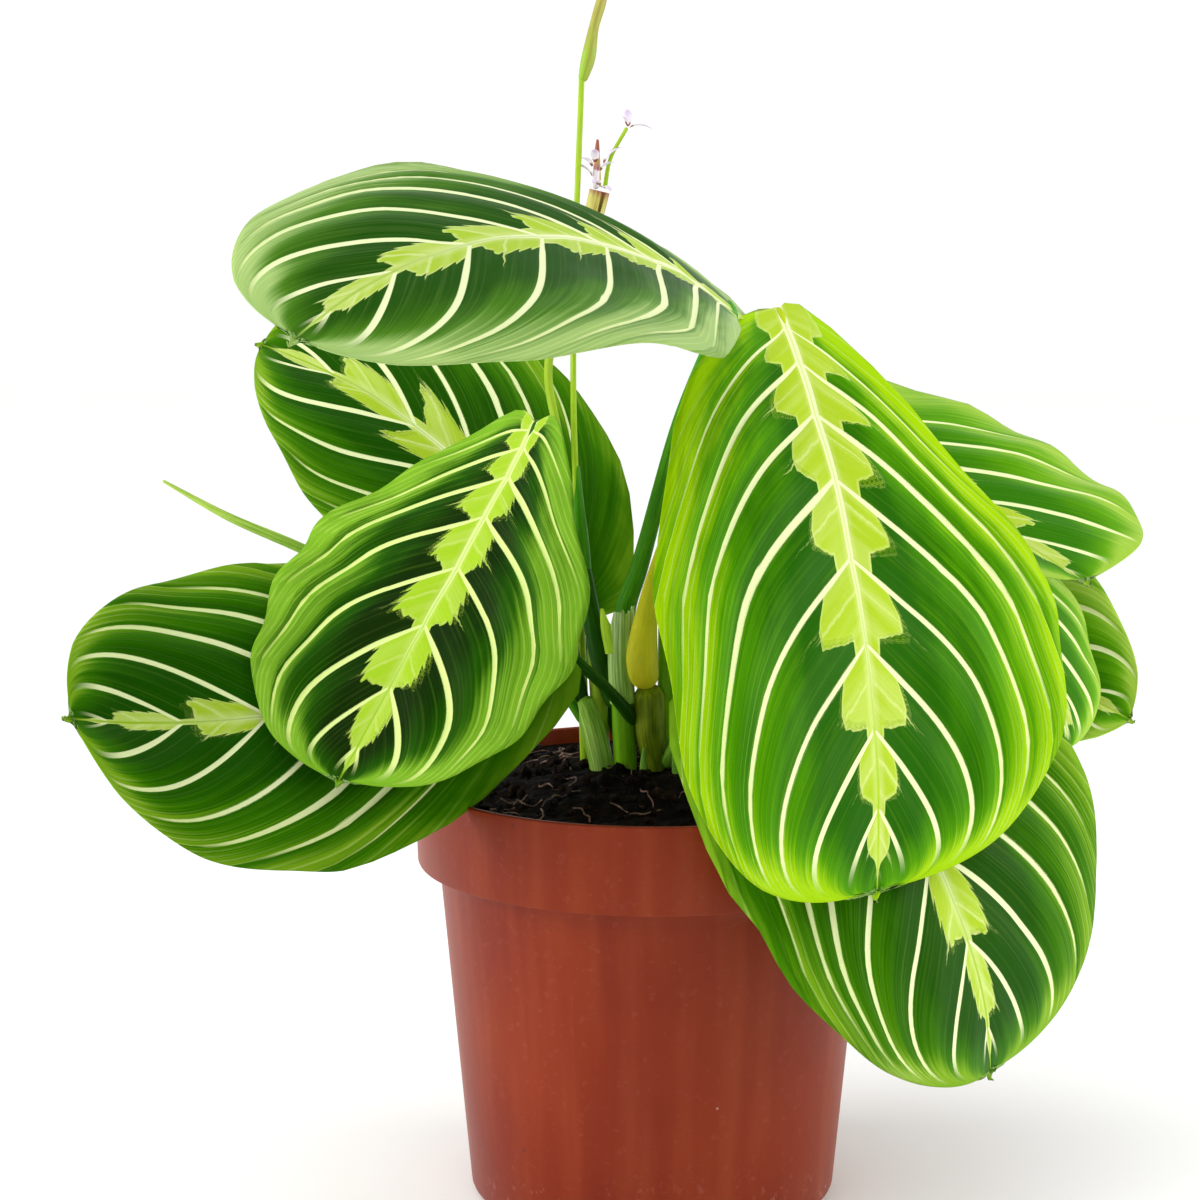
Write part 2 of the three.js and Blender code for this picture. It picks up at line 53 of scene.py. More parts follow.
class Graph:
    # short calls for wiring shader nodes
    def __init__(self, tree):
        self.tree = tree
        self.count = 0

    def node(self, kind, **settings):
        made = self.tree.nodes.new(kind)
        made.location = (220 * (self.count % 12), -260 * (self.count // 12))
        self.count += 1
        for name, value in settings.items():
            setattr(made, name, value)
        return made

    def feed(self, socket, value):
        if isinstance(value, bpy.types.NodeSocket):
            self.tree.links.new(value, socket)
        else:
            socket.default_value = value

    def calc(self, operation, *values, clamp=False):
        made = self.node("ShaderNodeMath", operation=operation, use_clamp=clamp)
        for socket, value in zip(made.inputs, values):
            self.feed(socket, value)
        return made.outputs[0]

    def plus(self, first, second, clamp=False):
        return self.calc("ADD", first, second, clamp=clamp)

    def minus(self, first, second):
        return self.calc("SUBTRACT", first, second)

    def times(self, first, second):
        return self.calc("MULTIPLY", first, second)

    def timesPlus(self, value, factor, added):
        return self.calc("MULTIPLY_ADD", value, factor, added)

    def step(self, value, low, high, start=0.0, end=1.0):
        made = self.node("ShaderNodeMapRange", interpolation_type="SMOOTHSTEP")
        for socket, given in zip(made.inputs, (value, low, high, start, end)):
            self.feed(socket, given)
        return made.outputs[0]

    def mix(self, factor, first, second):
        made = self.node("ShaderNodeMix", data_type="RGBA")
        self.feed(made.inputs[0], factor)
        self.feed(made.inputs[6], first)
        self.feed(made.inputs[7], second)
        return made.outputs[2]

    def vector(self, x, y, z):
        made = self.node("ShaderNodeCombineXYZ")
        for socket, value in zip(made.inputs, (x, y, z)):
            self.feed(socket, value)
        return made.outputs[0]

    def split(self, vector):
        made = self.node("ShaderNodeSeparateXYZ")
        self.feed(made.inputs[0], vector)
        return made.outputs

    def stretch(self, vector, x, y, z):
        made = self.node("ShaderNodeVectorMath", operation="MULTIPLY")
        self.feed(made.inputs[0], vector)
        made.inputs[1].default_value = (x, y, z)
        return made.outputs[0]

    def noise(self, vector, scale=1.0, detail=2.0, rough=0.5):
        made = self.node("ShaderNodeTexNoise")
        self.feed(made.inputs["Vector"], vector)
        made.inputs["Scale"].default_value = scale
        made.inputs["Detail"].default_value = detail
        made.inputs["Roughness"].default_value = rough
        return made.outputs[0]

    def cells(self, vector, scale):
        made = self.node("ShaderNodeTexVoronoi")
        self.feed(made.inputs["Vector"], vector)
        made.inputs["Scale"].default_value = scale
        return made.outputs

    def random(self, vector, output):
        made = self.node("ShaderNodeTexWhiteNoise", noise_dimensions="3D")
        self.feed(made.inputs["Vector"], vector)
        return made.outputs[output]

    def attribute(self, name, output="Fac"):
        return self.node("ShaderNodeAttribute", attribute_name=name).outputs[output]

    def objectPlace(self):
        return self.node("ShaderNodeTexCoord").outputs["Object"]

    def group(self, tree, **values):
        made = self.node("ShaderNodeGroup", node_tree=tree)
        for name, value in values.items():
            self.feed(made.inputs[name], value)
        return made.outputs


def newGroup(name, inputs, outputs):
    # a shader node group with named sockets, and the graph that fills it
    tree = bpy.data.node_groups.new(name, "ShaderNodeTree")
    kinds = {"color": "NodeSocketColor", "value": "NodeSocketFloat", "vector": "NodeSocketVector"}
    for label, kind in inputs.items():
        tree.interface.new_socket(name=label, in_out="INPUT", socket_type=kinds[kind])
    for label, kind in outputs.items():
        tree.interface.new_socket(name=label, in_out="OUTPUT", socket_type=kinds[kind])
    graph = Graph(tree)
    given = graph.node("NodeGroupInput").outputs
    handed = graph.node("NodeGroupOutput").inputs
    return tree, graph, given, handed


def newMaterial(name, fixed):
    # a material with its shader; fixed values go on the shader's own sockets, and bump heights are in mm
    material = bpy.data.materials.new(name)
    material.use_nodes = True
    material.node_tree.nodes.clear()
    graph = Graph(material.node_tree)
    shader = graph.node("ShaderNodeBsdfPrincipled")
    output = graph.node("ShaderNodeOutputMaterial")
    graph.feed(output.inputs["Surface"], shader.outputs[0])
    bump = graph.node("ShaderNodeBump")
    bump.inputs["Strength"].default_value = 1.0
    bump.inputs["Distance"].default_value = mm
    graph.feed(shader.inputs["Normal"], bump.outputs[0])
    for label, value in fixed.items():
        shader.inputs[label].default_value = value
    return material, graph, shader, bump


def setPoints(piece, points):
    # moves every vertex of a mesh to its place, given in millimetres
    piece.data.vertices.foreach_set("co", (np.asarray(points) * mm).astype(np.float32).ravel())
    piece.data.update()


def storeValues(piece, name, values, kind="FLOAT"):
    layer = piece.data.attributes.new(name, kind, "POINT")
    field = "value" if kind == "FLOAT" else "vector"
    layer.data.foreach_set(field, np.asarray(values, dtype=np.float32).ravel())


def newGrid(name, across, along):
    # a square grid from -1 to 1, named, with its vertices' places as numbers
    bpy.ops.object.select_all(action="DESELECT")
    bpy.ops.mesh.primitive_grid_add(x_subdivisions=across, y_subdivisions=along, size=2)
    piece = bpy.context.object
    piece.name = piece.data.name = name
    flat = np.empty(len(piece.data.vertices) * 3, dtype=np.float32)
    piece.data.vertices.foreach_get("co", flat)
    flat = flat.reshape(-1, 3).astype(float)
    return piece, flat[:, 0], flat[:, 1]


def selectOnly(piece):
    bpy.ops.object.select_all(action="DESELECT")
    piece.select_set(True)
    bpy.context.view_layer.objects.active = piece


def mergeDoubles(piece, distance):
    selectOnly(piece)
    bpy.ops.object.mode_set(mode="EDIT")
    bpy.ops.mesh.select_all(action="SELECT")
    bpy.ops.mesh.remove_doubles(threshold=distance * mm)
    bpy.ops.object.mode_set(mode="OBJECT")


def applyModifier(piece, kind, **settings):
    selectOnly(piece)
    modifier = piece.modifiers.new(kind.title(), kind)
    for name, value in settings.items():
        setattr(modifier, name, value)
    bpy.ops.object.modifier_apply(modifier=modifier.name)


def smooth(piece, angle=None):
    # angle, in degrees, keeps sharper edges sharp
    selectOnly(piece)
    if angle is None:
        bpy.ops.object.shade_smooth()
    else:
        bpy.ops.object.shade_smooth_by_angle(angle=math.radians(angle))


def joinPieces(name, pieces):
    bpy.ops.object.select_all(action="DESELECT")
    for piece in pieces:
        piece.select_set(True)
    bpy.context.view_layer.objects.active = pieces[0]
    bpy.ops.object.join()
    whole = bpy.context.object
    whole.name = whole.data.name = name
    return whole


def extrudeRings(start, rings):
    # in edit mode, grows the selected outline from ring to ring, each given as its radius and height
    radius, height = start
    for nextRadius, nextHeight in rings:
        rise = (nextHeight - height) * mm
        bpy.ops.mesh.extrude_region_move(TRANSFORM_OT_translate={"value": (0, 0, rise)})
        grow = nextRadius / radius
        bpy.ops.transform.resize(value=(grow, grow, 1), center_override=(0, 0, nextHeight * mm))
        radius, height = nextRadius, nextHeight


def handOver(piece, slot, *nodes):
    # the finished piece rides on the plant and stands for its solid
    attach(piece, "root")
    if nodes:
        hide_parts(*nodes)


# Camera, at the photograph's angle
camera = {"place": (-13.4, -830.9, 292.5), "tilt": 80.4, "lens": 101.2, "sensor": 36}


def setCamera():
    data = bpy.data.cameras.new("camera")
    data.lens = camera["lens"]
    data.sensor_width = camera["sensor"]
    data.clip_start = 0.05
    eye = bpy.data.objects.new("camera", data)
    eye.location = Vector(camera["place"]) * mm
    eye.rotation_euler = (math.radians(camera["tilt"]), 0, 0)
    bpy.context.collection.objects.link(eye)
    bpy.context.scene.camera = eye


setCamera()
print("camera placed")


# Leaves. base is where blade and stalk meet, angles are in degrees, left and right values are in that order,
# and full ends with the tip's: these are the solid's own. veins is how many fields the lateral veins leave
# and how they gather at base and tip. sweep is how far they run forward on the left and right: evenly, by
# the margin and with what power, at the midrib, and how much more towards the tip. splash is how far the
# lime lobes reach from the midrib.
leafForm = {
    "rows": 200, "columns": 56, "rowPower": 0.85, "columnPower": 1.15, "rowGather": 0.6,
    "swell": 0.8, "tipStart": 0.982, "tipPoint": 0.13, "start": 0.015, "limit": 0.95,
    "thickness": 0.42, "keel": 1.3, "keelWidth": 1.1, "solid": 2.0, "thickSteps": 24, "lift": 0.2,
    "groove": 0.14, "grooveWidth": 0.7, "ribGroove": 0.25, "ribGrooveWidth": 0.9,
    "ridge": 0.16, "ridgeWidth": 0.6, "edgeThinning": 0.16, "ripple": 0.9, "fineRipple": 0.12,
}
leaves = {
    "top_left": dict(
        base=(18, -45, 227), heading=227, rise=32.5, droop=63, swing=1.5,
        roll=25, twist=-8, length=148, width=96, fold=(-7, 12.5),
        arch=(-2, 34), widest=0.37, full=(1.2, 1.2, 2.3), lobe=(0, 0.12), wave=(1, 2.5, 287),
        veins=(9, 1.78, 1.45), sweep=((0.2, 0.45, 4.8, 0, 1.2), (0.42, 0.48, 5.8, 0.03, 0)),
        splash=7.2, finish="sheenPaintedLeaf",
    ),
    "back_left": dict(
        base=(-21, 23, 142.5), heading=151, rise=61, droop=45, swing=21,
        roll=39, twist=-7, length=114, width=82, fold=(12.5, 13),
        arch=(27, 14), widest=0.49, full=(1.85, 1.8, 2.05), lobe=(0.06, 0.06), wave=(0.7, 4, 32),
        veins=(7, 2.08, 1.25), sweep=((0.38, 0.34, 4.5, 0, 0.6), (0.6, 0.35, 4.5, 0, 0)),
        splash=9.6, finish="leaf",
    ),
    "front_left": dict(
        base=(-29, -18.5, 198.5), heading=-146.5, rise=-57, droop=-12, swing=21,
        roll=-1.5, twist=12, length=103, width=84, fold=(5, 9),
        arch=(30, -14), widest=0.44, full=(1.35, 1.35, 2.25), lobe=(0.06, 0.06), wave=(1.2, 5, 13),
        veins=(9, 2.1, 1.45), sweep=((0.12, 0.3, 4.8, 0, 3.2), (0.12, 0.32, 5, 0, 4)),
        splash=8.8, finish="darkLeaf",
    ),
    "low_left": dict(
        base=(-23, -12, 142), heading=194.5, rise=-17, droop=-30, swing=30,
        roll=47, twist=-0.5, length=133, width=82, fold=(11, 11),
        arch=(44, 11), widest=0.5, full=(1.6, 1.9, 2.25), lobe=(0.05, 0.06), wave=(0.8, 4, 246),
        veins=(8, 1.75, 1.5), sweep=((0.42, 0.37, 3.9, 0, 0), (0.34, 0.42, 3.9, 0, 0.6)),
        splash=6.2, finish="leaf",
    ),
    "front_right": dict(
        base=(29, -28.5, 227), heading=-73.5, rise=-34, droop=61.5, swing=9,
        roll=15, twist=1.5, length=151, width=110.5, fold=(1.5, 2),
        arch=(-13, 12), widest=0.58, full=(1.2, 1.5, 2.85), lobe=(0.06, 0), wave=(1.2, 3.4, 251),
        veins=(10, 1.6, 1.6), sweep=((0.13, 0.38, 5, 0, 3), (0.2, 0.5, 5, 0, 1.2)),
        splash=12.5, finish="youngLeaf",
    ),
    "back_right": dict(
        base=(31.5, 35.5, 195), heading=-38.5, rise=-16, droop=3, swing=-16,
        roll=-16.5, twist=12, length=109, width=83, fold=(14.5, 17),
        arch=(27, 18), widest=0.5, full=(2.4, 1.95, 2.4), lobe=(0.06, 0.06), wave=(0.9, 4.4, -6),
        veins=(7, 1.96, 1.78), sweep=((0.57, 0.1, 5.5, 0.03, 0), (0.42, 0.1, 5.5, 0.03, 0)),
        splash=8.6, finish="freshLeaf",
    ),
    "outer_right": dict(
        base=(44, 40, 142), heading=-20.5, rise=-6, droop=19, swing=-1,
        roll=-45, twist=7, length=87.5, width=69, fold=(15, 14.5),
        arch=(-8.5, 8), widest=0.52, full=(1.9, 1.9, 1.7), lobe=(0.06, 0.06), wave=(1.5, 2.9, 81),
        veins=(7, 2.07, 1.25), sweep=((0.41, 0.3, 4.2, 0, 0), (0.2, 0.1, 4.2, 0, 0)),
        splash=8.0, finish="freshLeaf",
    ),
    "inner_right": dict(
        base=(59, 2, 171), heading=-18, rise=-15, droop=71, swing=2,
        roll=-24, twist=4, length=77, width=55, fold=(5.5, 8),
        arch=(20, 20), widest=0.5, full=(1.9, 1.9, 2.05), lobe=(0.06, 0.06), wave=(0.9, 3.8, 344),
        veins=(7, 1.79, 1.56), sweep=((0.6, 0.1, 5.9, 0.03, 0), (0.5, 0.3, 5.9, 0, 0)),
        splash=7.4, finish="freshLeaf",
    ),
    "low_right": dict(
        base=(21.5, -45.5, 150.5), heading=-34, rise=-29, droop=59, swing=32,
        roll=-36, twist=10.5, length=124, width=97, fold=(7, 3.5),
        arch=(-9, 44), widest=0.55, full=(2, 2.5, 2.65), lobe=(0.06, 0.06), wave=(1, 3.3, 105),
        veins=(8, 2, 1.55), sweep=((0.55, 0.29, 5.3, 0, 0), (0.45, 1.2, 6.5, 0, 0)),
        splash=9.0, finish="leaf",
    ),
}


def leafFrame(leaf, share):
    # along the midrib, across to the right and up from the face, at a share of the length
    slope = np.radians(leaf["rise"] - leaf["droop"] * share)
    heading = np.radians(leaf["heading"] + leaf["swing"] * share)
    lean = np.radians(leaf["roll"] + leaf["twist"] * share)[..., None]
    along = np.stack([np.cos(slope) * np.cos(heading), np.cos(slope) * np.sin(heading), np.sin(slope)], -1)
    level = np.stack([np.sin(heading), -np.cos(heading), np.zeros_like(heading)], -1)
    above = np.cross(level, along)
    return along, level * np.cos(lean) + above * np.sin(lean), above * np.cos(lean) - level * np.sin(lean)


def leafSpine(leaf, share, steps=60):
    # places on the midrib at shares of its length
    marks = np.linspace(0, 1, steps + 1)
    along = leafFrame(leaf, (marks[1:] + marks[:-1]) / 2)[0]
    line = np.vstack([np.zeros(3), np.cumsum(along * leaf["length"] / steps, 0)])
    line = line + np.array(leaf["base"], float)
    return np.stack([np.interp(share, marks, line[:, axis]) for axis in range(3)], -1)


def leafOutline(leaf, share, right):
    # half the blade's width at a share of its length, as a part of its widest
    place = np.clip(share / leafForm["tipStart"], 0, 1)
    widest = leaf["widest"]
    reach = np.where(place < widest, widest, 1 - widest)
    full = np.where(place < widest, np.array(leaf["full"][:2])[right], leaf["full"][2])
    body = (1 - (np.abs(place - widest) / reach) ** full) ** (1 / full)
    point = np.where(share > 0.5, leafForm["tipPoint"] * np.clip((1 - share) / 0.06, 0, 1) ** 1.2, 0)
    return np.hypot(body, point)


def leafSurface(leaf, row, column):
    # row 0 to 1 follows the midrib, and the line of one row runs like a lateral vein; column -1 to 1 is left
    # to right. Gives the place, the share of the length, the distance from the midrib and the way up.
    form = leafForm
    outward = np.abs(column)
    right = (column > 0).astype(int)
    veins, gather, spread = leaf["veins"]
    root = 1 - (1 - row ** gather) ** spread
    easy, steep, power, atRib, growth = np.array(leaf["sweep"])[right].T
    lead = easy * outward + steep * outward ** power + atRib * outward / (outward + 0.05)
    lead = lead * (1 + growth * root) * root / (root + form["start"])
    room = form["limit"] * (1 - root)
    share = root + lead * room / np.cbrt(room ** 3 + lead ** 3 + 1e-9)
    along, across, up = leafFrame(leaf, share)
    half = leaf["width"] / 2
    distance = outward * leafOutline(leaf, share, right) * half
    fold = np.radians(np.array(leaf["fold"]))[right]
    bend = np.radians(np.array(leaf["arch"]))[right] / half
    sideways = (np.sin(fold) - np.sin(fold - bend * distance)) / bend
    rise = (np.cos(fold - bend * distance) - np.cos(fold)) / bend
    height, count, phase = leaf["wave"]
    wave = height * outward ** 2.5 * np.sin(2 * np.pi * count * share + np.radians(phase) + 2 * right)
    between = 0.5 - 0.5 * np.cos(2 * np.pi * veins * row)
    swell = form["swell"] * between * np.sin(np.pi * outward ** 0.8) * np.minimum(1, 8 * row * (1 - row))
    near = share / 0.05
    lobe = np.array(leaf["lobe"])[right] * outward ** 1.5 * near * np.exp(1 - near) * leaf["length"]
    lift = (rise + (wave + swell) * np.minimum(1, 6 * share * (1 - share)))[..., None]
    point = leafSpine(leaf, share) - along * lobe[..., None]
    point = point + across * (np.sign(column) * sideways)[..., None] + up * lift
    return point, share, distance, up


def leafNoise(points, scale, shift):
    return np.array([noise.noise(Vector(p) * scale + Vector(shift)) for p in points])


def buildLeaf(name, leaf, number):
    # rows gather at the veins, where the grooves and ridges are
    form = leafForm
    piece, x, y = newGrid("leaf_" + name, form["columns"], form["rows"])
    row = ((y + 1) / 2) ** form["rowPower"]
    veins = leaf["veins"][0]
    ripples = 2 * np.pi * veins
    row = np.clip(row - form["rowGather"] * np.sin(ripples * row) / ripples, 0, 1)
    column = np.sign(x) * np.abs(x) ** form["columnPower"]
    point, share, distance, up = leafSurface(leaf, row, column)
    shape = (form["rows"] + 1, form["columns"] + 1)
    cloud = point.reshape(*shape, 3)
    rows, columns = row.reshape(shape), column.reshape(shape)
    byRow = np.gradient(cloud, axis=0) / np.maximum(np.gradient(rows, axis=0), 1e-6)[..., None]
    byColumn = np.gradient(cloud, axis=1) / np.gradient(columns, axis=1)[..., None]
    area = np.linalg.norm(np.cross(byColumn, byRow), axis=-1)
    veinGap = (area / np.maximum(np.linalg.norm(byColumn, axis=-1), 1e-6) / veins).ravel()
    between = row * veins % 1
    fromVein = np.minimum(between, 1 - between) * veinGap
    inner = np.minimum(1, 6 * share * (1 - share))
    groove = form["groove"] * np.exp(-(fromVein / form["grooveWidth"]) ** 2)
    groove *= np.clip((0.95 - np.abs(column)) * 5, 0, 1)
    groove += form["ribGroove"] * (1 - 0.6 * row) * np.exp(-(distance / form["ribGrooveWidth"]) ** 2)
    ripple = form["ripple"] * leafNoise(point, 0.045, (number * 9, 0, 0))
    ripple += form["fineRipple"] * leafNoise(point, 0.16, (0, number * 7, 0))
    lift = form["lift"] + inner * (ripple - groove)
    setPoints(piece, point + up * lift[:, None])
    storeValues(piece, "share", share)
    storeValues(piece, "fromRib", distance)
    storeValues(piece, "veinGap", veinGap)
    storeValues(piece, "leafSeed", np.full(len(row), 3.7 * number))
    storeValues(piece, "veinCount", np.full(len(row), float(veins)))
    storeValues(piece, "splashReach", np.full(len(row), leaf["splash"]))
    corners = np.empty(len(piece.data.loops), dtype=np.int32)
    piece.data.loops.foreach_get("vertex_index", corners)
    grid = np.stack([(column + 1) / 2, row], -1)[corners].astype(np.float32)
    piece.data.uv_layers[0].data.foreach_set("uv", grid.ravel())

    # the blade's back: a keel under the midrib, ridges under the veins and a thinner rim
    keel = form["keel"] * (1 - 0.75 * row) * np.exp(-(distance / form["keelWidth"]) ** 2)
    ridge = form["ridge"] * np.exp(-(fromVein / form["ridgeWidth"]) ** 2)
    ridge *= np.clip((0.9 - np.abs(column)) * 4, 0, 1)
    rimShare = np.clip((np.abs(column) - 0.96) / 0.04, 0, 1)
    thick = form["thickness"] + keel + ridge * inner - form["edgeThinning"] * rimShare
    body = piece.vertex_groups.new(name="body")
    steps = form["thickSteps"]
    levels = np.round(thick / form["solid"] * steps).astype(int)
    for level in range(steps + 1):
        chosen = np.nonzero(levels == level)[0]
        if len(chosen):
            body.add(chosen.tolist(), level / steps, "REPLACE")
    mergeDoubles(piece, 0.002)
    piece.data.materials.append(materials[leaf["finish"]])
    piece.data.materials.append(materials["leafUnder"])
    applyModifier(
        piece, "SOLIDIFY", thickness=form["solid"] * mm, offset=-1, vertex_group="body",
        material_offset=1, material_offset_rim=0,
    )
    smooth(piece)
    handOver(piece, "young_leaf" if leaf["finish"] == "youngLeaf" else "leaf", "blade_" + name)


def leafPattern():
    # colour, gloss and relief of a leaf face: cream lateral veins, a lime herringbone along the midrib and
    # green fields that pale towards the margin, partly with a painted sheen
    inputs = {}
    for label, value in leafFinishes["leaf"].items():
        inputs[label] = "color" if isinstance(value, str) else "value"
    outputs = {"Color": "color", "Roughness": "value", "Height": "value"}
    tree, g, given, handed = newGroup("herringboneLeaf", inputs, outputs)
    grid = g.split(g.node("ShaderNodeUVMap", uv_map="UVMap").outputs[0])
    row = grid[1]
    column = g.timesPlus(grid[0], 2.0, -1.0)
    outward = g.calc("ABSOLUTE", column)
    side = g.calc("GREATER_THAN", column, 0.0)
    share = g.attribute("share")
    fromRib = g.attribute("fromRib")
    veinGap = g.attribute("veinGap")
    leafSeed = g.attribute("leafSeed")
    seed = g.timesPlus(side, 1.7, leafSeed)
    veinCount = g.attribute("veinCount")
    splashReach = g.attribute("splashReach")
    count = g.times(row, veinCount)
    number = g.calc("FLOOR", count)
    between = g.calc("FRACT", count)
    fromVein = g.times(g.calc("PINGPONG", between, 0.5), veinGap)
    pick = g.split(g.random(g.vector(number, side, leafSeed), "Color"))

    # threads along the fibres, broad streaks and patches
    fine = g.noise(g.vector(g.times(row, 190.0), g.times(fromRib, 0.05), seed), 1, 2)
    broad = g.noise(g.vector(g.times(row, 34.0), g.times(fromRib, 0.035), seed), 1, 2)
    patch = g.noise(g.vector(g.times(row, 9.0), g.times(fromRib, 0.08), seed), 1, 3)
    fineShift = g.minus(fine, 0.5)
    broadShift = g.minus(broad, 0.5)
    patchShift = g.minus(patch, 0.5)

    # green field, paler towards the margin and the tip and beside the vein on the base's side; the paleness
    # at the margin and tip is partly the leaf's own and partly a painted sheen
    outer = g.step(outward, 0.15, 0.75)
    reach = g.plus(outward, g.step(share, 0.84, 0.99, 0.0, 0.5))
    reach = g.timesPlus(g.times(g.minus(0.5, between), outer), 0.34, reach)
    reach = g.timesPlus(g.step(share, 0.08, 0.6, 1.0, 0.0), given["Pale Base"], reach)
    # extra paleness towards the margin, partly the leaf's own and partly a painted sheen
    reach = g.timesPlus(outer, given["Pale Margin And Sheen"], reach)
    reach = g.timesPlus(fineShift, g.timesPlus(outer, 0.35, 0.1), reach)
    reach = g.timesPlus(broadShift, 0.4, reach)
    reach = g.timesPlus(patchShift, 0.7, reach)
    green = g.mix(g.step(reach, 0.25, 0.9), given["Deep"], given["Middle"])
    green = g.mix(g.step(reach, 0.7, 1.2), green, given["Margin"])
    green = g.mix(g.times(g.step(fine, 0.5, 0.8), 0.08), green, given["Margin"])

    # herringbone: in each field lime leaves its vein for a blunt or toothed lobe, then narrows to a core
    atTip = g.step(share, 0.9, 0.97, 1.0, 0.0)
    tipAt = g.timesPlus(pick[0], 0.12, given["Lobe Tip"])
    wander = g.noise(g.vector(g.times(fromRib, 0.45), g.times(number, 3.1), seed), 1, 2)
    place = g.timesPlus(g.minus(wander, 0.5), 0.1, between)
    rise = g.calc("POWER", g.calc("DIVIDE", place, tipAt, clamp=True), 0.8)
    rise = g.timesPlus(rise, g.minus(1.08, given["Lobe Root"]), given["Lobe Root"])
    beyond = g.minus(place, tipAt)
    fall = g.minus(1.4, g.calc("DIVIDE", g.calc("MAXIMUM", beyond, 0.0), given["Lobe Fall"]))
    shape = g.calc("SMOOTH_MIN", rise, g.calc("MAXIMUM", fall, 0.0), 0.2, clamp=True)
    size = g.timesPlus(pick[1], 0.3, 0.85)
    size = g.times(size, g.step(share, 0.0, 0.26, 0.6, 1.0))
    size = g.times(size, g.step(share, 0.6, 0.97, 1.0, 0.24))
    size = g.times(size, splashReach)
    core = g.times(g.step(share, 0.3, 0.9, 1.0, 0.3), splashReach)
    core = g.calc("MINIMUM", g.times(core, given["Core"]), g.times(size, 0.85))
    saw = g.calc("FRACT", g.plus(g.calc("DIVIDE", beyond, 0.17), 6.0))
    teeth = g.times(g.minus(saw, 0.6), g.times(size, given["Teeth"]))
    teeth = g.times(teeth, g.times(shape, g.step(share, 0.1, 0.3, 0.4, 1.0)))
    edge = g.timesPlus(g.minus(size, core), shape, core)
    edge = g.plus(edge, teeth)
    edge = g.timesPlus(fineShift, 0.15, edge)
    edge = g.times(edge, atTip)
    within = g.minus(edge, fromRib)
    splash = g.step(within, -0.12, 0.12)
    rim = g.times(g.step(within, 0.9, 0.1), 0.6)
    nearRib = g.times(g.step(fromRib, 2.4, 0.8), 0.45)
    veil = g.times(g.step(broad, 0.42, 0.62), 0.3)
    pale = g.plus(g.calc("MAXIMUM", rim, nearRib), veil, clamp=True)
    color = g.mix(splash, green, g.mix(pale, given["Splash"], given["Splash Rim"]))

    # a thin vein in the middle of each lobe, running out past its tip
    middleAt = g.plus(tipAt, 0.02)
    fromMiddle = g.times(g.calc("ABSOLUTE", g.minus(place, middleAt)), veinGap)
    runOut = g.timesPlus(g.times(pick[2], pick[2]), 0.6, 1.2)
    ran = g.calc("DIVIDE", fromRib, g.calc("MAXIMUM", size, 0.1))
    slimWidth = g.times(g.step(ran, 0.7, runOut, 0.36, 0.06), g.step(share, 0.1, 0.3))
    slim = g.step(g.minus(slimWidth, fromMiddle), -0.08, 0.08)
    slim = g.times(slim, g.step(ran, g.minus(runOut, 0.35), runOut, 0.8, 0.0))
    slim = g.times(slim, atTip)
    color = g.mix(slim, color, given["Splash Rim"])

    # three fine veins in each field, which show where its green is pale
    quarter = g.calc("PINGPONG", g.times(between, 4.0), 0.5)
    fromQuarter = g.times(quarter, g.times(veinGap, 0.25))
    faint = g.times(g.step(fromQuarter, 0.3, 0.08), g.step(reach, 0.75, 1.2, 0.02, 0.3))
    color = g.mix(g.times(faint, atTip), color, given["Splash Rim"])

    # lateral veins, each of its own strength, thin at the midrib and fading before the margin
    nearest = g.calc("ROUND", count)
    strength = g.random(g.vector(nearest, side, g.plus(leafSeed, 0.5)), "Value")
    width = g.timesPlus(strength, 0.45, 0.78)
    width = g.times(g.times(width, given["Vein Width"]), g.step(outward, 0.55, 0.96, 1.0, 0.4))
    width = g.times(width, g.step(row, 0.04, 0.3, 0.45, 1.0))
    width = g.times(width, g.step(fromRib, 0.0, 9.0, 0.55, 1.0))
    width = g.timesPlus(broadShift, 0.25, width)
    lateral = g.step(g.minus(g.times(width, 0.5), fromVein), -0.12, 0.12)
    lateral = g.times(lateral, g.step(g.timesPlus(patch, 0.1, outward), 1.0, 0.88))
    lateral = g.times(lateral, g.times(g.calc("GREATER_THAN", count, 0.5), atTip))
    lateral = g.times(lateral, g.calc("LESS_THAN", count, g.minus(veinCount, 0.5)))
    veinColor = g.mix(g.times(g.step(outward, 0.45, 1.0), 0.75), given["Vein"], given["Splash Rim"])
    color = g.mix(lateral, color, veinColor)

    # midrib, with a fine darker line along its groove, greener at the tip
    ribWidth = g.step(share, 0.0, 1.0, 1.1, 0.3)
    rib = g.step(g.minus(ribWidth, fromRib), -0.15, 0.15)
    rib = g.times(rib, g.step(share, 0.86, 1.0, 1.0, 0.3))
    ribColor = g.mix(g.step(share, 0.4, 0.9), given["Vein"], given["Splash"])
    color = g.mix(rib, color, ribColor)
    line = g.times(g.step(fromRib, 0.34, 0.12), 0.4)
    color = g.mix(line, color, given["Margin"])
    g.feed(handed["Color"], color)

    rough = g.timesPlus(patch, 0.2, 0.34)
    g.feed(handed["Roughness"], g.timesPlus(lateral, 0.08, rough))
    thread = g.calc("SINE", g.times(between, 88.0))
    height = g.times(lateral, -0.06)
    height = g.timesPlus(thread, 0.008, height)
    height = g.timesPlus(fine, 0.06, height)
    height = g.timesPlus(slim, -0.03, height)
    g.feed(handed["Height"], height)
    return tree


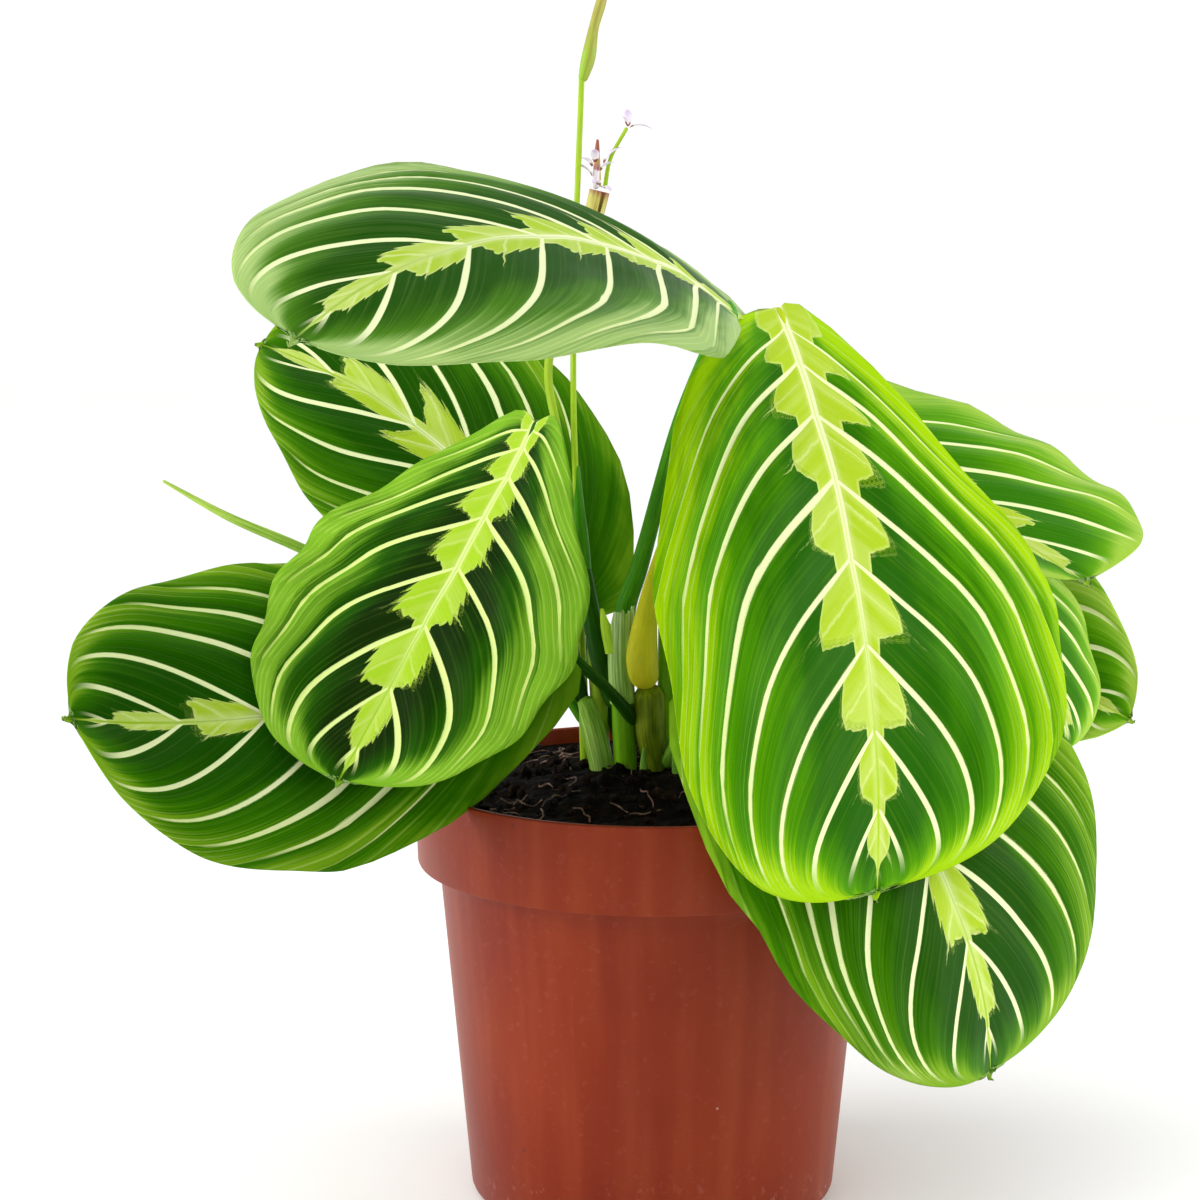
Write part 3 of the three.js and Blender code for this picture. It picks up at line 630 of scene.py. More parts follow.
# colours of the six kinds of face, the lobes' shape between two veins and the veins' width in millimetres
leafFinishes = {
    "youngLeaf": {
        "Deep": "1C5C00", "Middle": "4C9200", "Margin": "9CCA04", "Splash": "A8C628", "Splash Rim": "CCDC7C",
        "Vein": "E8F0B4", "Core": 0.5, "Lobe Root": 0.5, "Lobe Tip": 0.25, "Lobe Fall": 0.33,
        "Teeth": 0.0, "Vein Width": 1.5, "Pale Base": 0.25, "Pale Margin And Sheen": 0.02,
    },
    "freshLeaf": {
        "Deep": "2E7400", "Middle": "5C9E04", "Margin": "98C03C", "Splash": "ACCA2C", "Splash Rim": "CCDC80",
        "Vein": "E8F0B4", "Core": 0.3, "Lobe Root": 0.4, "Lobe Tip": 0.36, "Lobe Fall": 0.28,
        "Teeth": 0.2, "Vein Width": 1.5, "Pale Base": 0.05, "Pale Margin And Sheen": 0.1,
    },
    # top_left's face: its pale greyish Margin colour and strong margin paleness are a painted sheen
    "sheenPaintedLeaf": {
        "Deep": "1A4C00", "Middle": "487C18", "Margin": "9CBC6C", "Splash": "A8C638", "Splash Rim": "CCDC88",
        "Vein": "E8F0BC", "Core": 0.46, "Lobe Root": 0.4, "Lobe Tip": 0.44, "Lobe Fall": 0.24,
        "Teeth": 0.22, "Vein Width": 1.6, "Pale Base": 0.05, "Pale Margin And Sheen": 0.2,
    },
    "leaf": {
        "Deep": "154A00", "Middle": "367200", "Margin": "78A41C", "Splash": "A6C42C", "Splash Rim": "CCDC84",
        "Vein": "E8F0B8", "Core": 0.32, "Lobe Root": 0.4, "Lobe Tip": 0.44, "Lobe Fall": 0.24,
        "Teeth": 0.22, "Vein Width": 1.4, "Pale Base": 0.0, "Pale Margin And Sheen": 0.0,
    },
    # front_left's face: its bright Margin colour and margin paleness are partly the leaf's own and partly a
    # painted sheen
    "darkLeaf": {
        "Deep": "042400", "Middle": "1C5400", "Margin": "78AC26", "Splash": "A2C828", "Splash Rim": "BED464",
        "Vein": "DCEC94", "Core": 0.44, "Lobe Root": 0.82, "Lobe Tip": 0.34, "Lobe Fall": 0.34,
        "Teeth": 0.2, "Vein Width": 1.4, "Pale Base": 0.1, "Pale Margin And Sheen": 0.2,
    },
    "leafUnder": {
        "Deep": "5E8C3C", "Middle": "729C4C", "Margin": "88AE5C", "Splash": "98B858", "Splash Rim": "A8C46C",
        "Vein": "B4CC84", "Core": 0.3, "Lobe Root": 0.3, "Lobe Tip": 0.36, "Lobe Fall": 0.28,
        "Teeth": 0.2, "Vein Width": 1.1, "Pale Base": 0.0, "Pale Margin And Sheen": 0.0,
    },
}


leafGloss = {"level": 0.07, "tint": "E0F080"}


def leafMaterials(pattern):
    made = {}
    tint = hexColor(leafGloss["tint"])
    for name, finish in leafFinishes.items():
        under = name == "leafUnder"
        values = {k: hexColor(v) if isinstance(v, str) else v for k, v in finish.items()}
        gloss = {"Specular IOR Level": leafGloss["level"], "Specular Tint": tint}
        material, g, shader, bump = newMaterial(name, gloss)
        face = g.group(pattern, **values)
        g.feed(shader.inputs["Base Color"], face["Color"])
        g.feed(shader.inputs["Roughness"], g.plus(face["Roughness"], 0.14 if under else 0.0))
        g.feed(bump.inputs["Height"], g.times(face["Height"], -2.0 if under else 1.0))
        made[name] = material
    return made


# Stems and stalks. A route lists points along the middle, each with its radius.
stemForm = {"sides": 20, "spacing": 1.1, "endRings": (0.0, 0.12, 0.35, 0.65, 1.0), "gloss": 0.12}


def smoothLine(route, perSpan=24):
    # the curve that the solids follow, through every point of the route
    points = [np.array(p, float) for p in route]
    line = []
    for span in range(len(points) - 1):
        a, b = points[span], points[span + 1]
        before = points[span - 1] if span else 2 * a - b
        after = points[span + 2] if span + 2 < len(points) else 2 * b - a
        gaps = [max(np.linalg.norm((q - p)[:3]) ** 0.5, 1e-4) for p, q in ((before, a), (a, b), (b, after))]
        first, middle, last = gaps
        leave = ((a - before) / first - (b - before) / (first + middle) + (b - a) / middle) * middle
        reach = ((b - a) / middle - (after - a) / (middle + last) + (after - b) / last) * middle
        for step in range(perSpan + (span == len(points) - 2)):
            t = step / perSpan
            bow = (3 * (b - a) - 2 * leave - reach) * t * t
            line.append(a + leave * t + bow + (2 * (a - b) + leave + reach) * t ** 3)
    return np.array(line)


def ringsAlong(route, spacing, rounded=True):
    # centres, radii and two side directions of the rings along a route, and how far along it each lies
    line = smoothLine(route)
    steps = np.linalg.norm(np.diff(line[:, :3], axis=0), axis=1)
    run = np.concatenate([[0], np.cumsum(steps)])
    total = run[-1]
    marks = list(np.linspace(0, total, max(4, round(total / spacing))))
    ends = (line[0, 3], line[-1, 3]) if rounded else ()
    for end, reach in enumerate(ends):
        close = [reach * f for f in stemForm["endRings"]]
        marks = [m for m in marks if (m if end == 0 else total - m) > reach * 1.1]
        marks += close if end == 0 else [total - c for c in close]
    marks = np.array(sorted(marks))
    rings = np.stack([np.interp(marks, run, line[:, k]) for k in range(4)], -1)
    radii = rings[:, 3].copy()
    for end, reach in enumerate(ends):
        gone = marks if end == 0 else total - marks
        radii *= np.sqrt(np.clip(1 - (1 - np.clip(gone / reach, 0, 1)) ** 2, 0, 1))
    tangents = np.gradient(rings[:, :3], axis=0)
    tangents /= np.linalg.norm(tangents, axis=1)[:, None]
    side = np.array([1.0, 0, 0])
    sides = []
    for tangent in tangents:
        side = side - tangent * side.dot(tangent)
        side = side / np.linalg.norm(side)
        sides.append(side)
    sides = np.array(sides)
    return rings[:, :3], radii, sides, np.cross(tangents, sides), marks


def tube(name, route, material, sides=stemForm["sides"], spacing=stemForm["spacing"], flute=0.0, lobes=5):
    # a round stem along a route; flute raises shallow ribs along it
    centres, radii, first, second, marks = ringsAlong(route, spacing)
    piece, x, y = newGrid(name, sides, len(marks) - 1)
    ring = np.round((y + 1) / 2 * (len(marks) - 1)).astype(int)
    angle = np.pi * (x + 1)
    radius = radii[ring] * (1 + flute * np.cos(lobes * angle))
    offset = first[ring] * np.cos(angle)[:, None] + second[ring] * np.sin(angle)[:, None]
    setPoints(piece, centres[ring] + offset * radius[:, None])
    local = np.stack([radius * np.cos(angle), radius * np.sin(angle), marks[ring]], -1)
    storeValues(piece, "fibre", local, "FLOAT_VECTOR")
    storeValues(piece, "along", marks[ring] / marks[-1])
    mergeDoubles(piece, 0.004)
    piece.data.materials.append(materials[material])
    smooth(piece)
    return piece


def wrap(name, route, material, spread, facing, grow, thickness=0.3, columns=24, flare=0.0, tear=0.0):
    # a sheath round a stem: spread is how far round it goes at its foot and its tip, and facing is where its
    # middle looks, both in degrees; grow widens it past the route, flare opens its tip and tear frays it
    centres, radii, first, second, marks = ringsAlong(route, stemForm["spacing"], False)
    piece, x, y = newGrid(name, columns, len(marks) - 1)
    along = (y + 1) / 2
    ring = np.round(along * (len(marks) - 1)).astype(int)
    opening = np.radians(spread[0] + (spread[1] - spread[0]) * along ** 1.3)
    angle = np.radians(facing[0] + (facing[1] - facing[0]) * along) + opening / 2 * x
    radius = radii[ring] + grow + flare * along ** 3
    ragged = np.array([noise.noise(Vector((5 * a, 1, 0))) for a in x]) * tear * along ** 4
    offset = first[ring] * np.cos(angle)[:, None] + second[ring] * np.sin(angle)[:, None]
    upwards = np.gradient(centres, axis=0)
    upwards /= np.linalg.norm(upwards, axis=1)[:, None]
    setPoints(piece, centres[ring] + offset * radius[:, None] + upwards[ring] * ragged[:, None])
    local = np.stack([radius * np.cos(angle), radius * np.sin(angle), marks[ring]], -1)
    storeValues(piece, "fibre", local, "FLOAT_VECTOR")
    storeValues(piece, "along", along)
    mergeDoubles(piece, 0.004)
    piece.data.materials.append(materials[material])
    applyModifier(piece, "SOLIDIFY", thickness=thickness * mm, offset=0)
    smooth(piece, 50)
    return piece


def fibrePattern():
    # stem skin: streaks along the fibres and soft mottling between a light and a dark colour
    tree, g, given, handed = newGroup(
        "stemFibre",
        {"Light": "color", "Dark": "color", "Streak": "value", "Mottle": "value"},
        {"Color": "color", "Roughness": "value", "Height": "value"},
    )
    fibre = g.attribute("fibre", "Vector")
    streak = g.noise(g.stretch(fibre, 1.9, 1.9, 0.06), 1, 2)
    fine = g.noise(g.stretch(fibre, 5.0, 5.0, 0.12), 1, 1)
    mottle = g.noise(g.stretch(fibre, 0.5, 0.5, 0.18), 1, 3)
    amount = g.times(g.step(streak, 0.35, 0.65), given["Streak"])
    amount = g.timesPlus(g.step(mottle, 0.3, 0.7), given["Mottle"], amount)
    color = g.mix(amount, given["Light"], given["Dark"])
    g.feed(handed["Color"], g.mix(g.times(g.step(fine, 0.55, 0.75), 0.12), color, given["Dark"]))
    g.feed(handed["Roughness"], g.timesPlus(mottle, 0.2, 0.34))
    g.feed(handed["Height"], g.plus(g.times(streak, 0.1), g.times(fine, 0.04)))
    return tree


# each with the colours at its foot and its tip, its streaks' colour, and how strong streaks and mottling are
stemFinishes = {
    "paleSheath": ("D0E88C", "B4DC60", "6CA020", 0.7, 0.1),
    "leftStem": ("9CBC40", "88B434", "5C8A20", 0.5, 0.2),
    "oliveStem": ("90C814", "6CAC0C", "4C8804", 0.4, 0.2),
    "darkStalk": ("265404", "30700C", "143C02", 0.4, 0.3),
    "greenStalk": ("549C14", "50A018", "2E740A", 0.5, 0.3),
    "backStalk": ("74A42C", "80B03A", "4E7E20", 0.5, 0.3),
    "knuckle": ("3C5C08", "94A418", "2C4804", 0.35, 0.4),
    "swollenStalk": ("F2E42C", "A8C814", "C8CC20", 0.25, 0.3),
    "limeStalk": ("A8D024", "ACCA38", "80A414", 0.4, 0.3),
    "rolledLeaf": ("84B034", "BCD860", "5E8C24", 0.5, 0.2),
    "paperSheath": ("BCE074", "DCF0AC", "6CA030", 0.75, 0.1),
    "limeTip": ("BCE42C", "C8EC3C", "90BE1C", 0.3, 0.3),
    "scale": ("A4CC58", "78A838", "588C24", 0.5, 0.3),
}


def stemMaterials(pattern):
    made = {}
    for name, (foot, tip, dark, streak, mottle) in stemFinishes.items():
        material, g, shader, bump = newMaterial(name, {"Specular IOR Level": stemForm["gloss"]})
        light = g.mix(g.step(g.attribute("along"), 0.0, 1.0), hexColor(foot), hexColor(tip))
        skin = g.group(pattern, Light=light, Dark=hexColor(dark), Streak=streak, Mottle=mottle)
        g.feed(shader.inputs["Base Color"], skin["Color"])
        g.feed(shader.inputs["Roughness"], skin["Roughness"])
        g.feed(bump.inputs["Height"], skin["Height"])
        made[name] = material
    return made


# Close to the solids' own places; a leaf stalk runs on to its blade. A sheath's route is the stem inside it.
routes = {
    "leftStem": [(-13, 1, 83, 2.8), (-13, 1, 107, 2.8), (-15, 2, 117, 2.9), (-18, 4, 127, 2.2)],
    "frontLeftStalk": [(-18, 4, 124, 2.2), (-21.5, 5.5, 145, 1.7), (-25, 4, 172, 1.5), (-28, -4, 189, 1.5)],
    "rolledStalk": [(-17, 3, 120, 1.5), (-25, 3, 131, 1.4), (-45, 2, 143, 1.3), (-74, 1, 158, 1.2)],
    "leftSheath": [(-13, 1, 98, 2.9), (-13, 1, 107, 2.9), (-15, 2, 117, 3), (-17.7, 3.8, 125.5, 2.3)],
    "youngStem": [(-12.9, 4.5, 101, 2.2), (-13.4, 4.5, 120, 2.2), (-15, 5, 140, 1.8)],
    "middleStem": [
        (-7, 0, 83, 2.8), (-7, 0, 107, 2.9), (-7.5, -0.5, 122, 2.8), (-8.3, -0.5, 137, 2.6),
        (-8.3, 0, 148, 2.2)],
    "cutSheath": [(-7.7, -0.6, 126, 2.8), (-8.3, -0.5, 137, 2.7), (-8.1, -0.3, 149.5, 2.4)],
    "limeTip": [(-9.6, -0.6, 139, 2.2), (-11, -0.2, 145, 1.9), (-11.6, 0.2, 150, 1.5)],
    "topLeftStalk": [
        (-7.3, 2, 125, 2.5), (-7.2, 3.5, 148, 2.6), (-3.4, 4.5, 160, 2.2), (6, -6, 197, 1.7),
        (13.5, -22, 219, 1.5), (16.5, -36, 228.5, 1.2)],
    "lowLeftStalk": [(-4.5, -1, 121, 1.8), (-10.5, -7, 129.5, 1.5), (-16.5, -10.5, 136, 1.4)],
    "backLeftStalk": [(-8, 2, 116, 2), (-12, 9, 126, 1.8), (-17, 17, 136, 1.6)],
    "darkStalk": [(-9, 2, 124, 2.6), (-12.8, 3, 134, 2.5), (-15, 4.5, 144, 2.4), (-17.8, 7, 160, 1.9)],
    "rightStem": [(1.5, -1, 83, 3.2), (0.6, -1, 108, 3), (-0.8, -1, 119, 3.9), (-1.2, -1, 131, 4)],
    "frontRightStalk": [
        (-1.7, -2, 130, 3.4), (-2.9, -4, 137.5, 4), (-1.3, -4.5, 152, 2.5), (3, -7, 168, 1.8),
        (10.5, -13, 191, 1.5), (20.5, -22, 213, 1.6)],
    "rightYoungStem": [(3, 1.5, 101, 2.4), (3.4, 1.5, 125, 2.4), (3, 0.5, 152, 1.8)],
    "lowRightStalk": [(3, -2, 110, 2), (10, -12, 125, 1.6), (18, -30, 143, 1.4)],
    "backRightStalk": [(2, 1, 114, 1.9), (10, 9, 140, 1.6), (20, 18, 170, 1.4)],
    "outerRightStalk": [(4, 0, 108, 1.9), (15, 12, 125, 1.6), (31, 28, 140, 1.4)],
    "innerRightStalk": [(3, 0, 112, 1.9), (15, 2, 135, 1.6), (38, 3, 160, 1.4)],
    "tallStalk": [
        (-18, 7.3, 160.9, 1.5), (-19, 10, 172, 1), (-20, 17, 193, 0.8), (-20, 25, 225, 0.75),
        (-18, 31.5, 281, 0.75)],
    "tallSheath": [
        (-17.6, 7, 158.6, 1.8), (-18.3, 8.6, 166, 1.8), (-19, 10.2, 174, 1.4), (-19.5, 12.6, 184, 0.7)],
    "shortStalk": [
        (-16.5, 9.5, 83, 1.3), (-17.5, 9.5, 120, 1.3), (-19, 10.5, 150, 1.2), (-23.5, 15, 189, 1.1),
        (-26.5, 22, 208, 1.1), (-21, 29, 230, 1.2)],
    "tallSpathe": [
        (-18, 31.5, 279.4, 1.1), (-16.5, 31.8, 285, 1.8), (-15, 32, 293, 1.3), (-13, 32.3, 300, 1.3),
        (-12, 32.5, 305, 0.4)],
    "shortSpathe": [
        (-20.9, 29.1, 230.4, 1.3), (-17.8, 31, 238, 1.9), (-15, 32, 246, 2.5), (-13.5, 32.3, 252, 2.6)],
    "rolledLeaf": [(-74.5, 1, 158.2, 1.3), (-89, 0, 165.5, 1.3), (-106, 0, 173, 1), (-122, 0, 182, 0.35)],
    "pedicel": [(-12.2, 32.4, 252.6, 0.6), (-10.8, 32.6, 260, 0.5), (-6.5, 33, 268, 0.5)],
    "lowerFoot": [(-14.4, 31.2, 252.5, 0.8), (-14.4, 31.2, 256.4, 0.9), (-14.2, 30.9, 259, 0.7)],
    "bud": [(-13.6, 34, 252.9, 0.6), (-14.2, 34, 259, 0.9), (-14, 34, 265, 0.35)],
    "leftScale": [(-2.2, -5.4, 101, 0.8), (-2.6, -5.6, 110, 0.9), (-2.4, -5.3, 115.5, 0.35)],
    "rightScale": [(7, -6.9, 98, 1.3), (6.2, -7.3, 106, 1.5), (4.9, -7.4, 114, 0.4)],
}
stalkOf = {
    "frontLeftStalk": "front_left", "topLeftStalk": "top_left", "lowLeftStalk": "low_left",
    "backLeftStalk": "back_left", "frontRightStalk": "front_right", "lowRightStalk": "low_right",
    "backRightStalk": "back_right", "outerRightStalk": "outer_right", "innerRightStalk": "inner_right",
}


def stalkRoute(name):
    # a leaf stalk runs into the underside of its midrib and fades out there
    leaf = leaves[stalkOf[name]]
    route = list(routes[name])
    for share, drop, radius in ((0.002, 0.8, 1.3), (0.045, 0.9, 0.8), (0.1, 0.7, 0.35)):
        spot = leafSpine(leaf, np.array([share]))[0]
        up = leafFrame(leaf, np.array([share]))[2][0]
        route.append((*(spot - up * drop), radius))
    return route


def buildShoots():
    left = [
        tube("left_stem", routes["leftStem"], "leftStem", flute=0.03, lobes=7),
        wrap("left_sheath", routes["leftSheath"], "paleSheath", (215, 120), (-30, -60), 0.25),
        tube("front_left_stalk", stalkRoute("frontLeftStalk"), "darkStalk"),
        tube("rolled_stalk", routes["rolledStalk"], "greenStalk"),
        tube("young_stem", routes["youngStem"], "limeStalk"),
    ]
    middle = [
        tube("middle_stem", routes["middleStem"], "oliveStem", flute=0.03, lobes=6),
        tube("top_left_stalk", stalkRoute("topLeftStalk"), "greenStalk", flute=0.03, lobes=4),
        tube("low_left_stalk", stalkRoute("lowLeftStalk"), "darkStalk"),
        tube("back_left_stalk", stalkRoute("backLeftStalk"), "darkStalk"),
        tube("dark_stalk", routes["darkStalk"], "darkStalk"),
        wrap("cut_sheath", routes["cutSheath"], "paperSheath", (330, 170), (-60, -40), 0.3,
             flare=0.4, tear=2.5),
        wrap("lime_tip", routes["limeTip"], "limeTip", (200, 30), (-120, -140), 0.2),
    ]
    right = [
        tube("right_stem", routes["rightStem"], "knuckle", flute=0.02),
        tube("front_right_stalk", stalkRoute("frontRightStalk"), "swollenStalk"),
        tube("right_young_stem", routes["rightYoungStem"], "oliveStem"),
        tube("low_right_stalk", stalkRoute("lowRightStalk"), "backStalk"),
        tube("back_right_stalk", stalkRoute("backRightStalk"), "backStalk"),
        tube("outer_right_stalk", stalkRoute("outerRightStalk"), "backStalk"),
        tube("inner_right_stalk", stalkRoute("innerRightStalk"), "backStalk"),
    ]
    handOver(joinPieces("left_shoot", left), "stem", "shoot_left")
    handOver(joinPieces("middle_shoot", middle), "stem", "shoot_middle")
    handOver(joinPieces("right_shoot", right), "stem", "shoot_right")
    handOver(tube("left_scale", routes["leftScale"], "scale", sides=12), "stem", "scale_left")
    handOver(tube("right_scale", routes["rightScale"], "scale", sides=14), "stem", "scale_right")
    rolled = tube("rolled_young_leaf", routes["rolledLeaf"], "rolledLeaf", flute=0.06, lobes=3)
    handOver(rolled, "stalk", "rolled_leaf")
    tall = [
        tube("tall_scape", routes["tallStalk"], "limeStalk", sides=14),
        wrap("tall_scape_sheath", routes["tallSheath"], "greenStalk", (350, 90), (-40, -20), 0.15),
    ]
    handOver(joinPieces("tall_flower_stalk", tall), "stalk", "flower_stalk_tall")
    short = tube("short_flower_stalk", routes["shortStalk"], "limeStalk", sides=14)
    handOver(short, "stalk", "flower_stalk_short")


# Flowers: thin curled petals with brown marks at their throats, bracts and a bud. Each petal has the place
# of its foot, the direction it leans to and how far from upright, both in degrees, its size and slimness.
petalForm = {
    "length": 5.0, "width": 2.4, "curl": 55, "thickness": 0.16, "columns": 8, "rows": 12,
    "lower": [
        ((-15.2, 30.6, 255.5), 185, 55, 1.1, 1.0), ((-15.2, 30.6, 258), 150, 60, 0.9, 1.0),
        ((-13.6, 30.4, 253.5), 250, 80, 0.9, 1.0), ((-13.4, 30.4, 257), 330, 60, 0.9, 1.0),
        ((-12.6, 31, 258.5), 20, 48, 1.3, 0.8), ((-14.6, 30.2, 259), 265, 40, 0.9, 1.0),
        ((-13.2, 30.2, 253), 310, 100, 0.8, 1.0),
    ],
    "upper": [
        ((-6.3, 33, 268), 95, 18, 0.9, 1.0), ((-6.3, 32.9, 267.8), 5, 92, 1.2, 0.7),
        ((-6.3, 33, 268), 200, 30, 0.6, 1.0),
    ],
}
petalTones = {"white": "F6F2F6", "lilac": "D8C4E2", "mark": "8E4238"}

# each with the colours at its foot and its tip, its edge's colour and start, and its streaks' colour
bractFinishes = {
    "tallBract": ("8CB81C", "A8A840", "C0785C", 0.86, "9C8C34"),
    "shortBract": ("B8BC4C", "C8C060", "A05C48", 1.0, "A88434"),
    "petalFoot": ("E4DCE0", "F0E8F0", "B88078", 0.8, "E8DCE4"),
    "budSkin": ("C0C060", "C89858", "9C5440", 0.75, "C8A060"),
}


def petal(name, foot, heading, lean, scale, slim):
    form = petalForm
    piece, x, y = newGrid(name, form["columns"], form["rows"])
    t = (y + 1) / 2
    length = form["length"] * scale
    half = form["width"] / 2 * scale * slim * (np.sin(np.pi * np.clip(t * 0.93 + 0.05, 0, 1)) ** 0.7)
    angle = np.radians(lean - form["curl"] / 2 + form["curl"] * t)
    out = np.cumsum(np.sin(angle.reshape(form["rows"] + 1, -1)[:, 0])) * length / form["rows"]
    high = np.cumsum(np.cos(angle.reshape(form["rows"] + 1, -1)[:, 0])) * length / form["rows"]
    ring = np.round(t * form["rows"]).astype(int)
    turn = np.radians(heading)
    ahead = np.array([np.cos(turn), np.sin(turn), 0])
    across = np.array([-np.sin(turn), np.cos(turn), 0])
    cup = 0.35 * scale * (x ** 2) * np.sin(np.pi * t)
    point = (np.array(foot) + ahead * (out[ring] - cup)[:, None] + across * (half * x)[:, None]
             + np.array([0, 0, 1.0]) * (high[ring] + cup)[:, None])
    setPoints(piece, point)
    storeValues(piece, "along", t)
    mergeDoubles(piece, 0.004)
    piece.data.materials.append(materials["petal"])
    applyModifier(piece, "SOLIDIFY", thickness=form["thickness"] * mm, offset=0)
    smooth(piece)
    return piece


def petalMaterial():
    white, lilac, brown = (hexColor(petalTones[name]) for name in ("white", "lilac", "mark"))
    material, g, shader, bump = newMaterial("petal", {"Sheen Weight": 0.2, "Roughness": 0.55})
    along = g.attribute("along")
    grain = g.noise(g.stretch(g.objectPlace(), 900, 900, 900), 1, 2)
    tintShare = g.step(g.plus(along, g.times(grain, 0.3)), 0.3, 1.1)
    tint = g.mix(tintShare, white, lilac)
    mark = g.step(g.plus(along, g.times(grain, 0.35)), 0.42, 0.3)
    g.feed(shader.inputs["Base Color"], g.mix(mark, tint, brown))
    g.feed(bump.inputs["Height"], g.times(grain, 0.08))
    return material


def bractMaterial(name, foot, tip, edge, edgeStart, streak):
    material, g, shader, bump = newMaterial(name, {"Roughness": 0.5})
    fibre = g.attribute("fibre", "Vector")
    along = g.attribute("along")
    lines = g.noise(g.stretch(fibre, 1.4, 1.4, 0.09), 1, 2)
    color = g.mix(g.step(along, 0.1, 0.75), hexColor(foot), hexColor(tip))
    color = g.mix(g.times(g.step(lines, 0.45, 0.62), 0.75), color, hexColor(streak))
    rim = g.step(g.timesPlus(lines, 0.2, along), edgeStart, edgeStart + 0.12)
    g.feed(shader.inputs["Base Color"], g.mix(rim, color, hexColor(edge)))
    g.feed(bump.inputs["Height"], g.times(lines, 0.12))
    return material


def buildFlowers():
    tallBract = tube("tall_bract", routes["tallSpathe"], "tallBract", sides=16, flute=0.04, lobes=3)
    handOver(tallBract, "bract", "spathe_tall")
    shortBract = wrap(
        "short_bract", routes["shortSpathe"], "shortBract", (359, 330), (120, 120), -0.1, thickness=0.25,
        columns=28)
    handOver(shortBract, "bract", "spathe_short")
    lower = [petal("lower_petal", *values) for values in petalForm["lower"]]
    lower.append(tube("lower_foot", routes["lowerFoot"], "petalFoot", sides=10))
    handOver(joinPieces("lower_flower", lower), "petal", "flower_lower")
    upper = [tube("pedicel", routes["pedicel"], "limeStalk", sides=10, spacing=0.7)]
    upper += [petal("upper_petal", *values) for values in petalForm["upper"]]
    handOver(joinPieces("upper_flower", upper), "petal", "flower_upper")
    bud = tube("flower_bud_piece", routes["bud"], "budSkin", sides=12, spacing=0.7)
    handOver(bud, "petal", "flower_bud")


# Pot: rings of the wall from the middle of its foot up, over the lip and down inside, as radius and height
potForm = {
    "sides": 160, "holes": 8, "holeRadius": 4, "holeCircle": 30,
    "rings": [
        (43.5, 0), (44.4, 0.15), (45.2, 0.7), (45.8, 1.5), (46.23, 2.5), (48.8, 30), (51.4, 58), (53.62, 82),
        (53.95, 85.5), (54.3, 86), (58.5, 86), (59.1, 86.2), (59.4, 86.8), (59.7, 97), (59.98, 107.2),
        (59.9, 107.7), (59.5, 108), (58.9, 108), (58.5, 107.7), (58.3, 106.5), (57.9, 88), (57.5, 87.3),
        (52.8, 85.2), (52.4, 84.6), (44.8, 3), (44.2, 2),
    ],
}
potTones = {
    "dark": "741F04", "light": "822A06", "flow": "9C4824", "speck": "5E2414", "paleSpeck": "D8A090",
    "dust": "C08070",
}


def buildPot():
    form = potForm
    bpy.ops.object.select_all(action="DESELECT")
    radius, height = form["rings"][0]
    bpy.ops.mesh.primitive_circle_add(
        vertices=form["sides"], radius=radius * mm, fill_type="NGON", location=(0, 0, height * mm))
    piece = bpy.context.object
    piece.name = piece.data.name = "nursery_pot"
    bpy.ops.object.mode_set(mode="EDIT")
    bpy.ops.mesh.select_all(action="SELECT")
    extrudeRings(form["rings"][0], form["rings"][1:])
    bpy.ops.mesh.select_all(action="SELECT")
    bpy.ops.mesh.normals_make_consistent(inside=False)
    bpy.ops.object.mode_set(mode="OBJECT")
    drills = []
    for hole in range(form["holes"]):
        turn = 2 * math.pi * hole / form["holes"]
        bpy.ops.mesh.primitive_cylinder_add(
            vertices=24, radius=form["holeRadius"] * mm, depth=10 * mm,
            location=(form["holeCircle"] * math.cos(turn) * mm, form["holeCircle"] * math.sin(turn) * mm, 0))
        drills.append(bpy.context.object)
    drill = joinPieces("drill", drills)
    applyModifier(piece, "BOOLEAN", operation="DIFFERENCE", object=drill, solver="EXACT")
    bpy.data.objects.remove(drill)
    piece.data.materials.clear()
    piece.data.materials.append(materials["pot"])
    smooth(piece, 40)
    handOver(piece, "pot", "pot")


def potMaterial():
    # moulded plastic: uneven colour, faint flow lines up the wall, specks, and scuffs, most of them by the
    # foot
    material, g, shader, bump = newMaterial("terracottaPlastic", {"Specular IOR Level": 0.18})
    tones = {name: hexColor(code) for name, code in potTones.items()}
    place = g.objectPlace()
    cloud = g.noise(g.stretch(place, 28, 28, 16), 1, 3)
    flow = g.noise(g.stretch(place, 120, 120, 5), 1, 2)
    color = g.mix(g.step(cloud, 0.3, 0.7), tones["dark"], tones["light"])
    color = g.mix(g.times(g.step(flow, 0.4, 0.7), 0.25), color, tones["flow"])
    specks = g.cells(place, 95)
    speck = g.step(specks["Distance"], 0.075, 0.045)
    chosen = g.calc("GREATER_THAN", g.split(specks["Color"])[0], 0.7)
    color = g.mix(g.times(speck, g.times(chosen, 0.6)), color, tones["speck"])
    pale = g.cells(place, 130)
    chosen = g.calc("GREATER_THAN", g.split(pale["Color"])[1], 0.82)
    paleSpeck = g.times(g.step(pale["Distance"], 0.07, 0.03), chosen)
    color = g.mix(g.times(paleSpeck, 0.6), color, tones["paleSpeck"])
    dust = g.noise(place, 420, 4, 0.7)
    low = g.step(g.split(place)[2], 0.018, 0.0)
    scuff = g.times(g.step(dust, 0.55, 0.7), g.timesPlus(low, 0.4, 0.06))
    color = g.mix(scuff, color, tones["dust"])
    g.feed(shader.inputs["Base Color"], color)
    rough = g.timesPlus(cloud, 0.14, 0.34)
    g.feed(shader.inputs["Roughness"], g.timesPlus(scuff, 0.4, rough))
    height = g.times(flow, 0.05)
    height = g.timesPlus(g.noise(place, 900, 2), 0.03, height)
    g.feed(bump.inputs["Height"], height)
    return material


